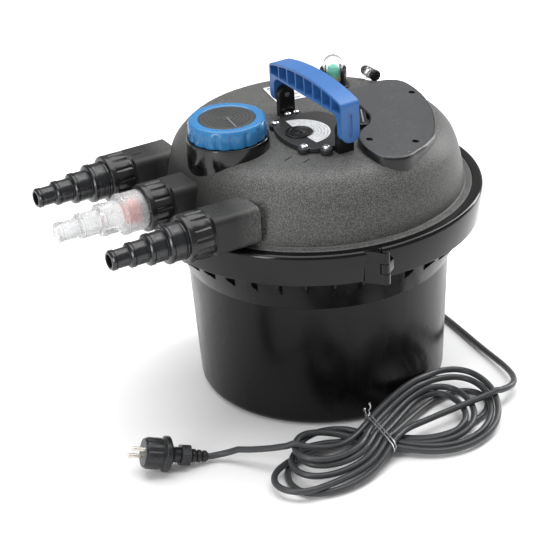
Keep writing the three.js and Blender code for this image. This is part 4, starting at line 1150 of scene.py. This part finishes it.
def make_tie(route, material):
    """Wire drawn round the hank's waist, its two ends twisted together and left to stand up."""
    off_cord, thickness, off_floor = 4.3, 0.75, 0.9
    around = np.linspace(0, 2 * math.pi, 16)
    loops = []
    for x in (-46.5, -42.5):
        near = [(p[1], p[2]) for p in route if abs(p[0] - x) < 5 and p[2] < 60]
        ring = hull([(y + off_cord * math.cos(a), max(z + off_cord * math.sin(a), off_floor))
                     for y, z in near for a in around])
        ring = even_steps(ring + ring[:1], 2.0)
        top = int(np.argmax(ring[:, 1]))
        loops.append([(x, *p) for p in np.roll(ring[:-1], -top, axis=0)])
    summit = Vector(loops[0][0])
    parts = []
    for side, loop in zip((-1, 1), loops):
        end = []
        for k in range(1, 12):
            angle = 1.3 * k + (math.pi if side > 0 else 0)
            parting = max(0, k - 5)
            end.append((
                summit.x + side * (1.0 + 0.45 * k) + 0.8 * math.cos(angle),
                summit.y + 0.8 * math.sin(angle) + side * 0.7 * parting,
                summit.z + 1.6 * k - 0.10 * parting**2,
            ))
        parts.append(wire([*loop[1:], loop[0], *end], thickness))
    piece("hank_tie", parts, "steel", [material])


# ---- floor and light, in metres
def area_light(name, place, target, size, power):
    data = bpy.data.lights.new(name, "AREA")
    data.shape = "RECTANGLE"
    data.size, data.size_y = size
    data.energy = power
    obj = placed(name, data)
    obj.location = place
    obj.rotation_euler = (Vector(target) - Vector(place)).to_track_quat("-Z", "Y").to_euler()
    return obj


def make_studio():
    """A pale floor under one wide lamp, with a tall narrow lamp at each side for the drum's reflections."""
    paper = Shader("floor_paper", (0.95, 0.95, 0.95), 0.9, 0.0)
    paper.mottle(paper.noise(0.004, 2), 0.01)
    half, height = 6, -0.0006
    corners = [(-half, -half), (half, -half), (half, half), (-half, half)]
    mesh = bpy.data.meshes.new("floor")
    mesh.from_pydata([(x, y, height) for x, y in corners], [], [[0, 1, 2, 3]])
    mesh.materials.append(paper.material)
    lamps = [
        area_light("overhead", (0.1, 0.3, 2.4), (0, 0, 0.1), (2.8, 2.8), 82),
        area_light("left", (-2.0, -0.9, 1.0), (0, 0, 0.2), (0.4, 1.8), 22),
        area_light("right", (1.7, 0.2, 1.1), (0, 0, 0.2), (0.45, 1.9), 28),
    ]
    placed("floor", mesh)
    world = bpy.data.worlds.new("studio")
    world.use_nodes = True
    background = world.node_tree.nodes["Background"]
    background.inputs["Color"].default_value = (1, 1, 1, 1)
    background.inputs["Strength"].default_value = 0.4
    bpy.context.scene.world = world
    bpy.context.scene.view_settings.view_transform = "Standard"


# ---- scene
def paint(material, *names):
    """Gives carried nodes of the drawing a finish."""
    for name in names:
        NODES[name].data.materials.clear()
        NODES[name].data.materials.append(material)


make_camera()
make_studio()
ring_black = moulded("ring_plastic", (0.0026, 0.0027, 0.003), 0.15, 0.003, 0.28, 0.1)
fitting_black = moulded("fitting_plastic", (0.0075, 0.0075, 0.0079), 0.28, 0.02, 0.28, 0.12)
nut_black = moulded("nut_plastic", (0.0085, 0.0087, 0.0094), 0.24, 0.015, 0.48, 0.15)
tail_black = moulded("tail_plastic", (0.0095, 0.0102, 0.012), 0.2, 0.012, 0.55, 0.15)
gloss_black = moulded("selector_black", (0.003, 0.003, 0.0033), 0.14, 0.004, 0.6, 0.1)
cap_blue = moulded("cap_blue", (0.026, 0.165, 0.38), 0.27, 0.02, 0.45, 0.06)
handle_blue = moulded("handle_blue", (0.033, 0.128, 0.36), 0.34, 0.03, 0.45, 0.07)
disc_grey = moulded("disc_grey", (0.040, 0.041, 0.041), 0.42, 0.03)
# Light grey for printed marks, and for the painted highlights on the cover catch's ribs.
mark_and_highlight_grey = moulded("mark_and_highlight_grey", (0.16, 0.16, 0.165), 0.42, 0.03, mottle=0.06)
plate_grey = moulded("plate_grey", (0.021, 0.0212, 0.022), 0.42, 0.05, mottle=0.15)
coral = moulded("float_coral", (0.80, 0.13, 0.09), 0.4)
cord_rubber = rubber("cord_rubber", (0.043, 0.045, 0.048), 0.36)
plug_rubber = rubber("plug_rubber", (0.017, 0.0177, 0.0195), 0.3)
seal_rubber = rubber("seal_rubber", (0.016, 0.016, 0.017), 0.6)
chrome = metal("chrome", (0.75, 0.75, 0.76), 0.2)
pin_metal = metal("pin_metal", (0.78, 0.74, 0.66), 0.3)
tie_wire = metal("tie_wire", (0.55, 0.55, 0.56), 0.35)
foil = concentric("label_foil", (0.66, 0.67, 0.68), (0.30, 0.31, 0.32), HUB, 3.4, 0.35, 0.36)
frosted = clear_plastic("frosted_clear", (0.93, 0.935, 0.94), 0.28, 0.22)
clear = clear_plastic("clear_plastic", (0.95, 0.96, 0.97), 0.07, 0.05)
quartz = clear_plastic("quartz", (0.96, 0.97, 0.98), 0.04, 0.03)
lamp_white = moulded("lamp_white", (0.72, 0.72, 0.73), 0.35, 0.01, mottle=0.03)

make_drum(drum_plastic())
make_clamp(ring_black)
make_clamp_knob(fitting_black, chrome)
make_lid(lid_plastic())
for port in PORT_ROWS:
    make_nut(port, nut_black)
for port in ("rear", "front"):
    make_tail(port, [(232, 20.2), (252, 16), (272, 12.5), (292, 10)], tail_black, "fitting_black")
make_tail("middle", [(238, 21.6), (262, 17), (285.5, 13), (309, 10.3)], frosted, "clear")
make_float(coral)
make_selector(gloss_black, cap_blue, disc_grey, mark_and_highlight_grey)
make_handle(handle_blue)
make_brackets(fitting_black)
make_screws(chrome, fitting_black)
make_plate(plate_grey, fitting_black, foil)
make_rating_label(sticker_paper(), mark_and_highlight_grey)
make_cover(cover_plastic(), fitting_black, mark_and_highlight_grey)
make_lamp(fitting_black, clear, lamp_core_painted_glow())
make_bleed(clear, fitting_black)
make_gland(fitting_black)
make_plug(plug_rubber, pin_metal)
route = cord_route()
cord, cord_length = make_cord(route, cord_rubber)
make_tie(route, tie_wire)
paint(seal_rubber, "lid_seal", "tail_gasket_rear", "tail_gasket_middle", "tail_gasket_front")
paint(fitting_black, "centre_tube", "foam_support", "selector_rotor", "lamp_holder")
paint(foam(), "foam_ring_lower", "foam_ring_middle", "foam_ring_upper")
paint(quartz, "uvc_sleeve")
paint(lamp_white, "uvc_lamp")
paint(chrome, "clamp_hinge_pin", "handle_pin_left", "handle_pin_right")
